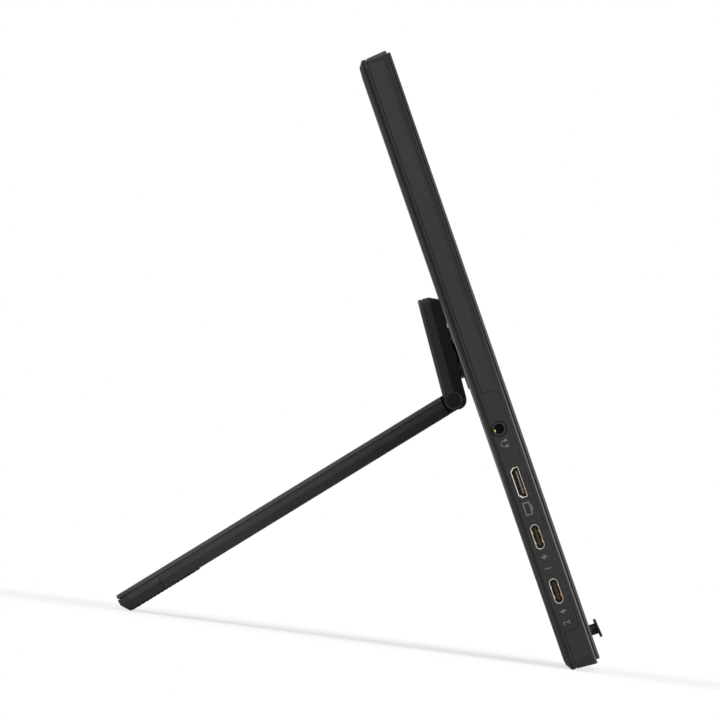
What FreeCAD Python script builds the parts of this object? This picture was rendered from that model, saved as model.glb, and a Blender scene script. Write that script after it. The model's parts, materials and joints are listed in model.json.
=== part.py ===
import FreeCAD, Part
import math
import os

# Portable monitor on a two-leaf stand. Lengths are in millimetres and angles in degrees.
# The display is drawn upright first: x runs across, z up, and depth is measured from the
# back plane towards the screen, which faces -y. It is then leaned back onto its stand.

# Casing
panel_width = 360.0
panel_height = 226.4
panel_corner_radius = 4.0
side_draft = 0.7
frame_depth = 7.75
frame_wall = 1.6
frame_edge_round = 0.5
ledge_reach = 1.7
ledge_thickness = 1.2
shelf_gap = 1.0
cover_depth = 3.0
cover_wall = 1.4
cover_chamfer_depth = 1.5
cover_chamfer_inset = 2.3
cover_rim = 3.0
cover_pocket_radius = 1.0
cover_seam = 0.25
cover_seam_reach = 0.4
lip_height = 1.5
lip_thickness = 1.0
lip_clearance = 0.1
overrun = 1.0
match_tolerance = 0.01

# Front bezel and the tape behind it
bezel_gap = 0.35
bezel_thickness = 0.9
bezel_round = 0.6
bezel_inset_top = 1.0
bezel_inset_bottom = 1.4
bezel_inset_side = 1.0
tape_inset = 0.25
tape_overlap = 1.6

# Screen module
screen_border_side = 7.9
screen_border_top = 8.8
chin_height = 24.0
window_clearance = 0.3
glass_border = 2.5
glass_border_bottom = 5.0
glass_thickness = 1.1
film_thickness = 0.4
guide_thickness = 0.8
reflector_thickness = 0.2
tray_sheet = 0.3
tray_clearance = 0.2
tray_rim_drop = 0.2
led_bar_height = 1.5
insulator_thickness = 0.15
insulator_margin = 6.0
tab_height = 8.0
tab_shares = (0.53, 0.92)
tray_boss_depth = 3.2
tray_boss_width = 2.4
source_board_overlap = 2.8
source_board_height = 11.0
source_board_thickness = 0.6
source_board_rise = 4.0

# Port flap and ports
flap_bottom = 14.2
flap_height = 88.0
flap_depth = 8.8
flap_top_radius = 2.6
flap_bottom_radius = 1.7
flap_gap = 0.15
lowest_port_height = 28.6
port_pitch = 20.0
port_depth = 5.2
port_recess = 0.05
port_clearance = 0.12
port_wall = 0.3
port_length = 7.6
oval_width = 9.1
oval_thickness = 3.2
oval_tongue_width = 6.7
video_width = 11.1
video_thickness = 3.1
video_slope = 1.1
video_tongue_width = 8.2
video_tongue_offset = 0.4
tongue_thickness = 0.7
tongue_recess = 0.9
jack_depth = 4.85
jack_hole_radius = 1.8
jack_nose_radius = 2.5
jack_flap_radius = 2.8
jack_length = 13.0
jack_body_width = 6.2
jack_body_thickness = 5.0
jack_bore_length = 11.0
jack_contact_width = 1.2
jack_contact_thickness = 0.3
jack_contact_setback = 1.2
jack_contact_length = 6.0

# Main board
board_thickness = 0.8
board_back = 5.4
board_width = 84.0
board_height = 84.0
board_bottom = 16.5
board_edge_gap = 0.4
board_notch_gap = 0.1
board_hole_inset = 5.0
board_hole_inset_left = 22.0
shield_width = 34.0
shield_height = 30.0
shield_thickness = 1.2
coil_size = 6.0
coil_thickness = 3.0
coil_count = 3
coil_pitch = 9.0
cable_width = 8.0
cable_thickness = 0.15
cable_bend = 5.0
cable_overlap = 12.0
boss_radius = 2.4

# Screws
screw_shank_radius = 0.9
screw_head_radius = 1.9
screw_head_height = 0.8
screw_length = 4.0
screw_clearance = 0.1
thread_clearance = 0.03
hub_screw_head_radius = 2.6
hub_screw_length = 1.5
tray_screw_radius = 0.6
tray_screw_head_radius = 1.1
tray_screw_head_height = 0.6
tray_screw_length = 2.4

# Menu stick on the front, near the lower right corner
stick_right_inset = 24.0
stick_height = 9.9
stick_pivot_depth = 9.4
stick_base_size = 9.0
stick_base_wall = 0.8
stick_base_back = 7.6
stick_base_floor = 0.3
stick_base_front = 10.6
stick_base_gap = 0.3
stick_hole_radius = 2.8
stick_ring_outer = 3.2
stick_ring_inner = 2.3
stick_ring_thickness = 1.2
stick_rocker_radius = 1.85
stick_rocker_thickness = 1.4
stick_pin_radius = 0.4
stick_pin_clearance = 0.03
stick_pin_reach = 0.7
stick_stem_radius = 0.9
stick_stem_clearance = 0.05
stick_stem_back = 8.7
stick_neck_radius = 2.0
stick_neck_back = 10.6
stick_cap_radius = 3.5
stick_cap_thickness = 1.0
stick_cap_round = 0.3
stick_cap_slope = 4.5
stick_reach = 3.9
stick_dome_radius = 1.6
stick_dome_thickness = 0.15
stick_board_width = 26.0
stick_board_height = 14.0
stick_board_thickness = 0.8
stick_board_hole_inset = 3.2
ribbon_width = 4.0
ribbon_thickness = 0.15
ribbon_gap = 1.5
ribbon_overlap = 9.0

# Stand hub
hub_height = 117.1
hub_boss_radius = 7.15
hub_boss_flat = 6.2
hub_boss_top = 2.3
hub_back_gap = 0.15
hub_flange_radius = 11.5
hub_flange_thickness = 0.4
hub_shaft_radius = 5.0
hub_shaft_end = 4.5
hub_running_clearance = 0.05
bush_radius = 6.2
bush_flange_radius = 9.0
bush_flange = 0.5
seat_clearance = 0.05
hub_plate_width = 64.0
hub_plate_height = 44.0
hub_plate_thickness = 1.2
hub_plate_radius = 4.0
hub_screw_inset = 6.0
hub_post_radius = 1.9
hub_post_gap = 0.1
hub_washer_gap = 0.1
hub_washer_radius = 9.0
hub_washer_thickness = 0.4
wave_washer_radius = 8.4
wave_washer_thickness = 0.5
clip_radius = 7.4
clip_thickness = 0.6
clip_groove = 0.8
clip_mouth = 7.0

# Stand leaves
stand_width = 150.0
leaf_tilt = 4.26
leaf_bend = 73.3
leaf_skin = 1.5
leaf_groove = 0.3
short_groove_inset = 0.3
long_groove_inset = 0.8
short_chamfer_height = 3.9
long_chamfer_height = 3.0
leaf_chamfer_inset = 1.8
leaf_corner_radius = 6.0
leaf_wall = 1.6
leaf_floor = 1.6
skin_bevel = 0.35
short_skin_setback = 0.05
long_skin_setback = 0.3
stop_gap = 0.08
short_leaf_reach = 37.35
short_leaf_thickness = 8.0
short_axis_inset = 3.4
short_leaf_relief = 0.5
long_leaf_reach = 137.75
long_leaf_thickness = 6.85
long_axis_inset = 3.6
long_leaf_root = 4.0
long_rib_count = 5
long_rib_thickness = 1.6

# Tilt and bend hinges
tilt_pin_reach = 13.8
tilt_pin_height = 3.4
tilt_pin_radius = 1.5
tilt_pin_length = 60.0
tilt_washer_radius = 2.5
tilt_washer_thickness = 0.5
tilt_washer_gap = 0.1
hub_pocket_clearance = 0.6
hub_block_width = 68.0
pin_clearance = 0.03
barrel_radius = 3.25
barrel_clearance = 0.35
knuckle_round = 3.3
knuckle_width = 24.0
knuckle_gap = 0.3
bend_pin_radius = 1.5
sleeve_radius = 2.3
sleeve_length = 22.0
sleeve_inset = 6.0
end_cap_rim = 0.25
end_cap_thickness = 0.8

# Foot
foot_split = 121.2
foot_gap = 0.2
foot_tongue_length = 11.0
foot_tongue_thickness = 1.8
foot_tongue_margin = 8.0
foot_tongue_clearance = 0.05
foot_pad_start = 108.2
foot_pad_proud = 0.3
foot_pad_sink = 0.5
foot_pad_margin = 2.0
foot_pad_clearance = 0.05

# Places worked out from the sizes above
frame_front = cover_depth + frame_depth
bezel_back = frame_front + bezel_gap
bezel_front = bezel_back + bezel_thickness
back_half = panel_width / 2 - side_draft
back_bottom = side_draft
back_top = panel_height - side_draft
back_radius = panel_corner_radius - side_draft
inner_half = back_half - frame_wall
inner_bottom = back_bottom + frame_wall
inner_top = back_top - frame_wall
inner_radius = back_radius - frame_wall
lip_half = inner_half - lip_clearance
lip_inner_half = lip_half - lip_thickness
screen_half = panel_width / 2 - screen_border_side
screen_bottom = chin_height
screen_top = panel_height - screen_border_top
glass_half = screen_half + glass_border
glass_bottom = screen_bottom - glass_border_bottom
glass_top = screen_top + glass_border
film_front = frame_front - glass_thickness
guide_front = film_front - film_thickness
reflector_front = guide_front - guide_thickness
tray_front = reflector_front - reflector_thickness
tray_back = tray_front - tray_sheet
insulator_back = tray_back - insulator_thickness
tray_half = glass_half + tray_clearance + tray_sheet
tray_bottom = glass_bottom - tray_clearance - tray_sheet
tray_top = glass_top + tray_clearance + tray_sheet
shelf_top = tray_bottom - shelf_gap
flap_top = flap_bottom + flap_height
board_front = board_back + board_thickness
board_left = -lip_inner_half + board_edge_gap
board_right = board_left + board_width
board_top = board_bottom + board_height
oval_lower_height = lowest_port_height
oval_upper_height = lowest_port_height + port_pitch
video_height = lowest_port_height + 2 * port_pitch
jack_height = lowest_port_height + 3 * port_pitch
stick_x = panel_width / 2 - stick_right_inset
stick_board_back = stick_base_back - stick_board_thickness
short_inner = short_axis_inset - short_leaf_thickness
short_top = short_axis_inset - leaf_skin
long_inner = long_axis_inset - long_leaf_thickness
long_top = long_axis_inset - leaf_skin
tilt_pin_n = short_inner + tilt_pin_height
knuckle_inner = stand_width / 2 - knuckle_width
long_knuckle_half = knuckle_inner - knuckle_gap
leaf_angle = math.radians(180 - leaf_bend)
nose_along = (short_axis_inset + long_axis_inset * math.cos(leaf_angle)) / math.sin(leaf_angle)
short_skin_start = nose_along * math.cos(leaf_angle) + long_axis_inset * math.sin(leaf_angle) + stop_gap
foot_pad_end = long_leaf_reach - leaf_chamfer_inset
across = FreeCAD.Vector(1, 0, 0)
origin = FreeCAD.Vector(0, 0, 0)


def side_at(depth):
    """Half the casing's width at a depth, on the drafted side wall."""
    return back_half + side_draft * (depth - cover_depth) / frame_depth


# Basic shapes


def box(x0, x1, depth0, depth1, z0, z1):
    """Box between two depths behind or before the back plane."""
    corner = FreeCAD.Vector(x0, -depth1, z0)
    return Part.makeBox(x1 - x0, depth1 - depth0, z1 - z0, corner)


def post(x, z, radius, depth0, depth1):
    """Round post square to the back plane."""
    base = FreeCAD.Vector(x, -depth1, z)
    return Part.makeCylinder(radius, depth1 - depth0, base, FreeCAD.Vector(0, 1, 0))


def rod(radius, x0, x1, y, z):
    """Round rod across the width."""
    return Part.makeCylinder(radius, x1 - x0, FreeCAD.Vector(x0, y, z), across)


def tube_post(x, z, outer, inner, depth0, depth1):
    """Washer or bush square to the back plane."""
    hole = post(x, z, inner, depth0 - overrun, depth1 + overrun)
    return post(x, z, outer, depth0, depth1).cut(hole)


def rounded_wire(x0, x1, z0, z1, radius, y):
    """Rectangle with round corners in a plane of constant y."""
    mid = radius - radius * math.cos(math.radians(45))
    edges = []
    corners = ((x1, z0, -1, 1), (x1, z1, -1, -1), (x0, z1, 1, -1), (x0, z0, 1, 1))
    arcs = []
    for x, z, inward_x, inward_z in corners:
        on_z = FreeCAD.Vector(x + inward_x * radius, y, z)
        on_x = FreeCAD.Vector(x, y, z + inward_z * radius)
        middle = FreeCAD.Vector(x + inward_x * mid, y, z + inward_z * mid)
        first, last = (on_z, on_x) if inward_x * inward_z < 0 else (on_x, on_z)
        arcs.append((first, middle, last))
    for index, (first, middle, last) in enumerate(arcs):
        edges.append(Part.Arc(first, middle, last).toShape())
        following = arcs[(index + 1) % len(arcs)][0]
        edges.append(Part.LineSegment(last, following).toShape())
    return Part.Wire(edges)


def rounded_plate(x0, x1, z0, z1, radius, depth0, depth1):
    """Plate with round corners between two depths."""
    face = Part.Face(rounded_wire(x0, x1, z0, z1, radius, -depth1))
    return face.extrude(FreeCAD.Vector(0, depth1 - depth0, 0))


def ring_plate(half0, z0, z1, radius0, half1, z2, z3, radius1, depth0, depth1):
    """Plate with a round-cornered opening."""
    opening = rounded_plate(-half1, half1, z2, z3, radius1, depth0 - overrun, depth1 + overrun)
    return rounded_plate(-half0, half0, z0, z1, radius0, depth0, depth1).cut(opening)


def prism(points, x0, x1):
    """Solid across the width from (y, z) points; a point with a third entry ends an arc."""
    edges = []
    here = FreeCAD.Vector(x0, points[0][0], points[0][1])
    start = here
    for point in points[1:]:
        there = FreeCAD.Vector(x0, point[0], point[1])
        if len(point) > 2:
            middle = FreeCAD.Vector(x0, point[2][0], point[2][1])
            edges.append(Part.Arc(here, middle, there).toShape())
        else:
            edges.append(Part.LineSegment(here, there).toShape())
        here = there
    if (here - start).Length > 0:
        edges.append(Part.LineSegment(here, start).toShape())
    return Part.Face(Part.Wire(edges)).extrude(FreeCAD.Vector(x1 - x0, 0, 0))


def fuse_all(shapes):
    """One solid from shapes that touch or overlap."""
    whole = shapes[0]
    for shape in shapes[1:]:
        whole = whole.fuse(shape)
    return whole.removeSplitter()


def cut_all(shape, tools):
    """Shape with every tool taken away."""
    for tool in tools:
        shape = shape.cut(tool)
    return shape


# Casing


def casing_envelope():
    """Outside of the drafted side wall, narrower at the back, with a round front edge."""
    back = rounded_wire(-back_half, back_half, back_bottom, back_top, back_radius, -cover_depth)
    half = panel_width / 2
    front = rounded_wire(-half, half, 0, panel_height, panel_corner_radius, -frame_front)
    whole = Part.makeLoft([back, front], True, True)
    rim = [edge for edge in whole.Edges if abs(edge.BoundBox.YMax + frame_front) < match_tolerance]
    return whole.makeFillet(frame_edge_round, rim)


def flap_prism(gap, x0, x1):
    """Side outline of the port flap, with round front corners."""
    bottom = flap_bottom - gap
    top = flap_top + gap
    front = -(flap_depth + gap)
    low = flap_bottom_radius + gap
    high = flap_top_radius + gap
    bend = math.cos(math.radians(45))
    low_mid = (front + low * (1 - bend), bottom + low * (1 - bend))
    high_mid = (front + high * (1 - bend), top - high * (1 - bend))
    points = [
        (-cover_chamfer_depth, bottom),
        (front + low, bottom),
        (front, bottom + low, low_mid),
        (front, top - high),
        (front + high, top, high_mid),
        (-cover_chamfer_depth, top),
    ]
    return prism(points, x0, x1)


def tray_boss_places():
    """Centres of the four tabs that hold the screen tray."""
    inset = (tray_half + inner_half) / 2
    return [(side * inset, share * panel_height) for share in tab_shares for side in (-1, 1)]


def mid_frame():
    """Side wall with a front ledge, a shelf behind the chin and bosses for the screen tray."""
    outside = casing_envelope()
    seam = cover_depth + cover_seam
    behind = box(-panel_width, panel_width, 0, cover_depth + seat_clearance, -panel_height,
                 2 * panel_height)
    core = rounded_plate(-back_half + cover_seam_reach, back_half - cover_seam_reach,
                         back_bottom + cover_seam_reach, back_top - cover_seam_reach,
                         back_radius - cover_seam_reach, cover_depth, seam)
    groove = box(-panel_width, panel_width, cover_depth, seam, -panel_height, 2 * panel_height).cut(core)
    ledge_back = frame_front - ledge_thickness
    cavity = rounded_plate(
        -inner_half, inner_half, inner_bottom, inner_top, inner_radius, 0, ledge_back)
    opening_half = inner_half - ledge_reach
    opening = box(-opening_half, opening_half, 0, frame_front + overrun, shelf_top,
                  inner_top - ledge_reach)
    flap = flap_prism(flap_gap, -panel_width, -lip_inner_half)
    base_half = stick_base_size / 2 + stick_base_gap
    stick_hole = box(stick_x - base_half, stick_x + base_half, 0, frame_front + overrun,
                     stick_height - base_half, stick_height + base_half)
    frame = cut_all(outside, [behind, groove, cavity, opening, stick_hole])
    bosses = []
    holes = []
    for x, z in tray_boss_places():
        inner = x - tray_boss_width / 2 if x > 0 else -inner_half - frame_wall / 2
        outer = inner_half + frame_wall / 2 if x > 0 else x + tray_boss_width / 2
        bosses.append(box(inner, outer, tray_back - tray_boss_depth, tray_back,
                          z - tab_height / 2, z + tab_height / 2))
        holes.append(post(x, z, tray_screw_radius + thread_clearance,
                          tray_back - tray_screw_length - overrun / 2, tray_back + overrun))
    return cut_all(fuse_all([frame] + bosses), holes + [flap])


def board_screw_places():
    """Holes of the main board, then those of the stick's board."""
    left = board_left + board_hole_inset_left
    right = board_right - board_hole_inset
    low = board_bottom + board_hole_inset
    high = board_top - board_hole_inset
    return [(x, z) for x in (left, right) for z in (low, high)]


def stick_screw_places():
    """Holes at both ends of the stick's board."""
    reach = stick_board_width / 2 - stick_board_hole_inset
    return [(stick_x + side * reach, stick_height) for side in (-1, 1)]


def hub_screw_places():
    """Holes at the corners of the hub plate."""
    x = hub_plate_width / 2 - hub_screw_inset
    z = hub_plate_height / 2 - hub_screw_inset
    return [(side * x, hub_height + rise * z) for side in (-1, 1) for rise in (-1, 1)]


def rear_cover():
    """Back plate with a chamfered rim, a lip inside the side wall and the port flap."""
    inset = cover_chamfer_inset
    back = rounded_wire(-back_half + inset, back_half - inset, back_bottom + inset,
                        back_top - inset, back_radius - inset, 0)
    rim = rounded_wire(-back_half, back_half, back_bottom, back_top, back_radius,
                       -cover_chamfer_depth)
    slope = Part.makeLoft([back, rim], True, True)
    plate = rounded_plate(-back_half, back_half, back_bottom, back_top, back_radius,
                          cover_chamfer_depth, cover_depth)
    pocket_half = back_half - cover_rim
    pocket = rounded_plate(-pocket_half, pocket_half, back_bottom + cover_rim, back_top - cover_rim,
                           cover_pocket_radius, cover_wall, cover_depth + overrun)
    low = inner_bottom + lip_clearance
    high = inner_top - lip_clearance
    lip = ring_plate(lip_half, low, high, inner_radius, lip_inner_half, low + lip_thickness,
                     high - lip_thickness, cover_pocket_radius, cover_depth,
                     cover_depth + lip_height)
    flap = casing_envelope().common(flap_prism(0, -panel_width, -lip_inner_half))
    posts = [post(x, z, boss_radius, cover_wall, board_back) for x, z in board_screw_places()]
    posts += [post(x, z, boss_radius, cover_wall, stick_board_back) for x, z in stick_screw_places()]
    plate_front = cover_wall + hub_plate_thickness
    posts += [post(x, z, hub_post_radius, cover_wall, plate_front) for x, z in hub_screw_places()]
    shell = fuse_all([slope.fuse(plate).cut(pocket), lip, flap] + posts)
    holes = port_openings()
    thread = screw_shank_radius + thread_clearance
    for x, z in board_screw_places():
        holes.append(post(x, z, thread, board_front - screw_length, board_back + overrun))
    for x, z in stick_screw_places():
        holes.append(post(x, z, thread, stick_base_back - screw_length, stick_board_back + overrun))
    for x, z in hub_screw_places():
        holes.append(post(x, z, thread, plate_front - hub_screw_length, plate_front + overrun))
    holes.append(post(0, hub_height, bush_radius + seat_clearance, -overrun, cover_wall + overrun))
    holes.append(post(0, hub_height, bush_flange_radius + seat_clearance, -overrun, bush_flange))
    return cut_all(shell, holes)


def front_bezel():
    """Thin front sheet with a round outer edge, a screen window and a hole for the stick."""
    half = panel_width / 2 - bezel_inset_side
    top = panel_height - bezel_inset_top
    radius = panel_corner_radius - bezel_inset_side
    sheet = rounded_plate(-half, half, bezel_inset_bottom, top, radius, bezel_back, bezel_front)
    rim = [edge for edge in sheet.Edges if abs(edge.BoundBox.YMax + bezel_front) < match_tolerance]
    sheet = sheet.makeFillet(bezel_round, rim)
    window_half = screen_half + window_clearance
    window = box(-window_half, window_half, bezel_back - overrun, bezel_front + overrun,
                 screen_bottom - window_clearance, screen_top + window_clearance)
    hole = post(stick_x, stick_height, stick_hole_radius, bezel_back - overrun, bezel_front + overrun)
    return cut_all(sheet, [window, hole])


def bezel_tape():
    """Adhesive gasket between the side wall, the glass and the bezel."""
    half = panel_width / 2 - bezel_inset_side - tape_inset
    low = bezel_inset_bottom + tape_inset
    high = panel_height - bezel_inset_top - tape_inset
    inner = glass_half - tape_overlap
    sheet = box(-half, half, frame_front, bezel_back, low, high)
    window = box(-inner, inner, frame_front - overrun, bezel_back + overrun,
                 glass_bottom + tape_overlap, glass_top - tape_overlap)
    reach = stick_base_size / 2 + stick_base_gap
    hole = box(stick_x - reach, stick_x + reach, frame_front - overrun, bezel_back + overrun,
               stick_height - reach, stick_height + reach)
    return cut_all(sheet, [window, hole])


# Screen module


def lcd_panel():
    """Glass of the screen."""
    return box(-glass_half, glass_half, film_front, frame_front, glass_bottom, glass_top)


def optical_films():
    """Stack of diffusing films behind the glass."""
    return box(-glass_half, glass_half, guide_front, film_front, glass_bottom, glass_top)


def light_guide():
    """Clear plate that spreads the light, above the row of lamps."""
    return box(-glass_half, glass_half, reflector_front, guide_front,
               glass_bottom + led_bar_height + tray_clearance, glass_top)


def led_bar():
    """Row of lamps along the lower edge of the light guide."""
    return box(-glass_half, glass_half, reflector_front, guide_front,
               glass_bottom, glass_bottom + led_bar_height)


def reflector_sheet():
    """White sheet behind the light guide."""
    return box(-glass_half, glass_half, tray_front, reflector_front, glass_bottom, glass_top)


def backlight_tray():
    """Sheet-metal tray round the screen module, with four screw tabs."""
    rim = frame_front - tray_rim_drop
    tray = box(-tray_half, tray_half, tray_back, rim, tray_bottom, tray_top)
    inside = tray_sheet
    space = box(-tray_half + inside, tray_half - inside, tray_front, rim + overrun,
                tray_bottom + inside, tray_top - inside)
    tabs = []
    holes = []
    for x, z in tray_boss_places():
        reach = 2 * abs(x) - tray_half - lip_clearance
        x0 = tray_half - tray_sheet if x > 0 else -reach
        x1 = reach if x > 0 else -tray_half + tray_sheet
        tabs.append(box(x0, x1, tray_back, tray_front, z - tab_height / 2, z + tab_height / 2))
        holes.append(post(x, z, tray_screw_radius + screw_clearance,
                          tray_back - overrun, tray_front + overrun))
    return cut_all(fuse_all([tray.cut(space)] + tabs), holes)


def tray_insulator():
    """Thin sheet that keeps the boards off the metal tray."""
    margin = insulator_margin
    low = tray_bottom + source_board_rise + source_board_height + margin
    return box(-tray_half + margin, tray_half - margin, insulator_back, tray_back,
               low, tray_top - margin)


def source_board():
    """Driver board of the screen, on the back of the tray, its end over the main board's edge."""
    half = source_board_overlap - board_right
    bottom = tray_bottom + source_board_rise
    return box(-half, half, tray_back - source_board_thickness, tray_back,
               bottom, bottom + source_board_height)


# Ports


def oval_prism(width, thickness, depth, height, x0, x1):
    """Flat oval across the width, its long way upright."""
    radius = thickness / 2
    straight = width / 2 - radius
    front = -depth - radius
    back = -depth + radius
    points = [
        (back, height - straight),
        (back, height + straight),
        (front, height + straight, (-depth, height + straight + radius)),
        (front, height - straight),
        (back, height - straight, (-depth, height - straight - radius)),
    ]
    return prism(points, x0, x1)


def sloped_prism(width, thickness, slope, depth, height, x0, x1):
    """Flat outline with two sloped corners on the side of the back plane."""
    half = width / 2
    front = -depth - thickness / 2
    back = -depth + thickness / 2
    points = [
        (front, height - half),
        (front, height + half),
        (back - slope, height + half),
        (back, height + half - slope),
        (back, height - half + slope),
        (back - slope, height - half),
    ]
    return prism(points, x0, x1)


def port_face(depth):
    """Place of a port's mouth, just inside the flap's outer face."""
    return -side_at(depth) + port_recess


def oval_shell(height):
    """Metal shell of an oval socket, closed at its inner end."""
    face = port_face(port_depth)
    end = face + port_length
    outside = oval_prism(oval_width, oval_thickness, port_depth, height, face, end)
    inner_width = oval_width - 2 * port_wall
    inner_thickness = oval_thickness - 2 * port_wall
    inside = oval_prism(inner_width, inner_thickness, port_depth, height,
                        face - overrun, end - port_wall)
    return outside.cut(inside)


def oval_tongue(height):
    """Contact tongue in the middle of an oval socket."""
    face = port_face(port_depth)
    half = oval_tongue_width / 2
    return box(face + tongue_recess, face + port_length - port_wall,
               port_depth - tongue_thickness / 2, port_depth + tongue_thickness / 2,
               height - half, height + half)


def video_port_shell():
    """Metal shell of the wide socket, closed at its inner end."""
    face = port_face(port_depth)
    end = face + port_length
    outside = sloped_prism(video_width, video_thickness, video_slope, port_depth, video_height,
                           face, end)
    inner_width = video_width - 2 * port_wall
    inner_thickness = video_thickness - 2 * port_wall
    inside = sloped_prism(inner_width, inner_thickness, video_slope, port_depth, video_height,
                          face - overrun, end - port_wall)
    return outside.cut(inside)


def video_port_tongue():
    """Contact tongue of the wide socket, nearer to the screen side."""
    face = port_face(port_depth)
    middle = port_depth + video_tongue_offset
    half = video_tongue_width / 2
    return box(face + tongue_recess, face + port_length - port_wall,
               middle - tongue_thickness / 2, middle + tongue_thickness / 2,
               video_height - half, video_height + half)


def jack_body_start():
    """Where the wide body of the headphone socket begins, clear of the flap and the cover's rim."""
    return max(-lip_inner_half, cover_rim - back_half) + port_clearance


def jack_contact_slot(gap):
    """Space of the contact spring beside the headphone bore."""
    start = port_face(jack_depth) + jack_contact_setback
    half = jack_contact_width / 2
    bottom = jack_depth - jack_hole_radius - jack_contact_thickness
    return box(start - gap, start + jack_contact_length + gap, bottom - gap,
               bottom + jack_contact_thickness + gap, jack_height - half - gap,
               jack_height + half + gap)


def headphone_jack():
    """Round socket with a nose in the flap and a square body behind it."""
    face = port_face(jack_depth)
    nose = rod(jack_nose_radius, face, jack_body_start() + overrun, -jack_depth, jack_height)
    half = jack_body_width / 2
    body = box(jack_body_start(), face + jack_length, jack_depth - jack_body_thickness / 2,
               jack_depth + jack_body_thickness / 2, jack_height - half, jack_height + half)
    bore = rod(jack_hole_radius, face - overrun, face + jack_bore_length, -jack_depth, jack_height)
    slot = jack_contact_slot(seat_clearance)
    return cut_all(fuse_all([nose, body]), [bore, slot])


def jack_contact():
    """Gilt contact spring beside the headphone bore."""
    return jack_contact_slot(0)


def port_openings():
    """Holes for the sockets in the port flap."""
    grow = 2 * port_clearance
    x0 = -panel_width
    x1 = -lip_inner_half + overrun
    holes = []
    for height in (oval_lower_height, oval_upper_height):
        holes.append(oval_prism(oval_width + grow, oval_thickness + grow, port_depth, height, x0, x1))
    holes.append(sloped_prism(video_width + grow, video_thickness + grow, video_slope, port_depth,
                              video_height, x0, x1))
    holes.append(rod(jack_flap_radius, x0, x1, -jack_depth, jack_height))
    return holes


# Boards


def main_board():
    """Circuit board with notches round the sockets."""
    board = box(board_left, board_right, board_back, board_front, board_bottom, board_top)
    gap = board_notch_gap
    tools = []
    sockets = (
        (oval_lower_height, oval_width, port_face(port_depth) + port_length),
        (oval_upper_height, oval_width, port_face(port_depth) + port_length),
        (video_height, video_width, port_face(port_depth) + port_length),
        (jack_height, jack_body_width, port_face(jack_depth) + jack_length),
    )
    for height, width, end in sockets:
        reach = width / 2 + gap
        tools.append(box(board_left - overrun, end + gap, 0, frame_front, height - reach, height + reach))
    for x, z in board_screw_places():
        tools.append(post(x, z, screw_shank_radius + screw_clearance,
                          board_back - overrun, board_front + overrun))
    return cut_all(board, tools)


def shield_can():
    """Metal lid over the picture processor, on the screen side of the board."""
    x = (board_left + board_right) / 2
    z = (board_bottom + board_top) / 2
    return box(x - shield_width / 2, x + shield_width / 2, board_front,
               board_front + shield_thickness, z - shield_height / 2, z + shield_height / 2)


def power_coils():
    """Row of coils on the back of the board."""
    x = board_right - board_hole_inset - 2 * coil_size
    middle = (board_bottom + board_top) / 2
    coils = []
    for index in range(coil_count):
        z = middle + (index - (coil_count - 1) / 2) * coil_pitch
        coils.append(box(x, x + coil_size, board_back - coil_thickness, board_back,
                         z - coil_size / 2, z + coil_size / 2))
    return Part.makeCompound(coils)


def panel_cable():
    """Flat cable from the driver board to the main board, with one step."""
    top = tray_bottom + source_board_rise + source_board_height
    bottom = top - cable_width
    back = tray_back - source_board_thickness
    step_x = board_right + cable_bend
    on_main = box(board_right - cable_overlap, step_x, board_front, board_front + cable_thickness,
                  bottom, top)
    step = box(step_x - cable_thickness, step_x, board_front, back, bottom, top)
    on_source = box(step_x - cable_thickness, step_x + cable_overlap, back - cable_thickness, back,
                    bottom, top)
    return fuse_all([on_main, step, on_source])


def joystick_board():
    """Small board behind the menu stick."""
    half = stick_board_width / 2
    rise = stick_board_height / 2
    board = box(stick_x - half, stick_x + half, stick_board_back, stick_base_back,
                stick_height - rise, stick_height + rise)
    holes = [post(x, z, screw_shank_radius + screw_clearance, stick_board_back - overrun,
                  stick_base_back + overrun) for x, z in stick_screw_places()]
    return cut_all(board, holes)


def joystick_ribbon():
    """Flat cable from the stick's board to the main board, with one step."""
    bottom = stick_height + boss_radius + ribbon_gap
    top = bottom + ribbon_width
    edge = stick_x - stick_board_width / 2
    back = board_back - ribbon_thickness
    run = box(board_right - ribbon_overlap, edge, back, board_back, bottom, top)
    step = box(edge - ribbon_thickness, edge, back, stick_board_back, bottom, top)
    end = box(edge - ribbon_thickness, edge + ribbon_overlap, stick_board_back - ribbon_thickness,
              stick_board_back, bottom, top)
    return fuse_all([run, step, end])


def screw(x, z, seat, radius, length, head_radius, head_height):
    """Pan-head screw, its head on the screen side of its seat."""
    shank = post(x, z, radius, seat - length, seat)
    head = post(x, z, head_radius, seat, seat + head_height)
    return shank.fuse(head).removeSplitter()


def board_screws():
    """Screws of the main board and of the stick's board."""
    seats = [(x, z, board_front) for x, z in board_screw_places()]
    seats += [(x, z, stick_base_back) for x, z in stick_screw_places()]
    return Part.makeCompound([screw(x, z, seat, screw_shank_radius, screw_length,
                                    screw_head_radius, screw_head_height) for x, z, seat in seats])


def hub_screws():
    """Screws of the hub plate."""
    seat = cover_wall + hub_plate_thickness
    return Part.makeCompound([screw(x, z, seat, screw_shank_radius, hub_screw_length,
                                    hub_screw_head_radius, screw_head_height)
                              for x, z in hub_screw_places()])


def tray_screws():
    """Screws of the screen tray's tabs."""
    return Part.makeCompound([screw(x, z, tray_front, tray_screw_radius, tray_screw_length,
                                    tray_screw_head_radius, tray_screw_head_height)
                              for x, z in tray_boss_places()])


# Menu stick


def joystick_base():
    """Square cup that carries the gimbal ring on two pins."""
    half = stick_base_size / 2
    inside = half - stick_base_wall
    cup = box(stick_x - half, stick_x + half, stick_base_back, stick_base_front,
              stick_height - half, stick_height + half)
    space = box(stick_x - inside, stick_x + inside, stick_base_back + stick_base_floor,
                stick_base_front + overrun, stick_height - inside, stick_height + inside)
    hole = rod(stick_pin_radius + stick_pin_clearance, stick_x - half - overrun,
               stick_x + half + overrun, -stick_pivot_depth, stick_height)
    return cut_all(cup, [space, hole])


def joystick_dome():
    """Springy disc under the stem."""
    floor = stick_base_back + stick_base_floor
    return post(stick_x, stick_height, stick_dome_radius, floor, floor + stick_dome_thickness)


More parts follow.
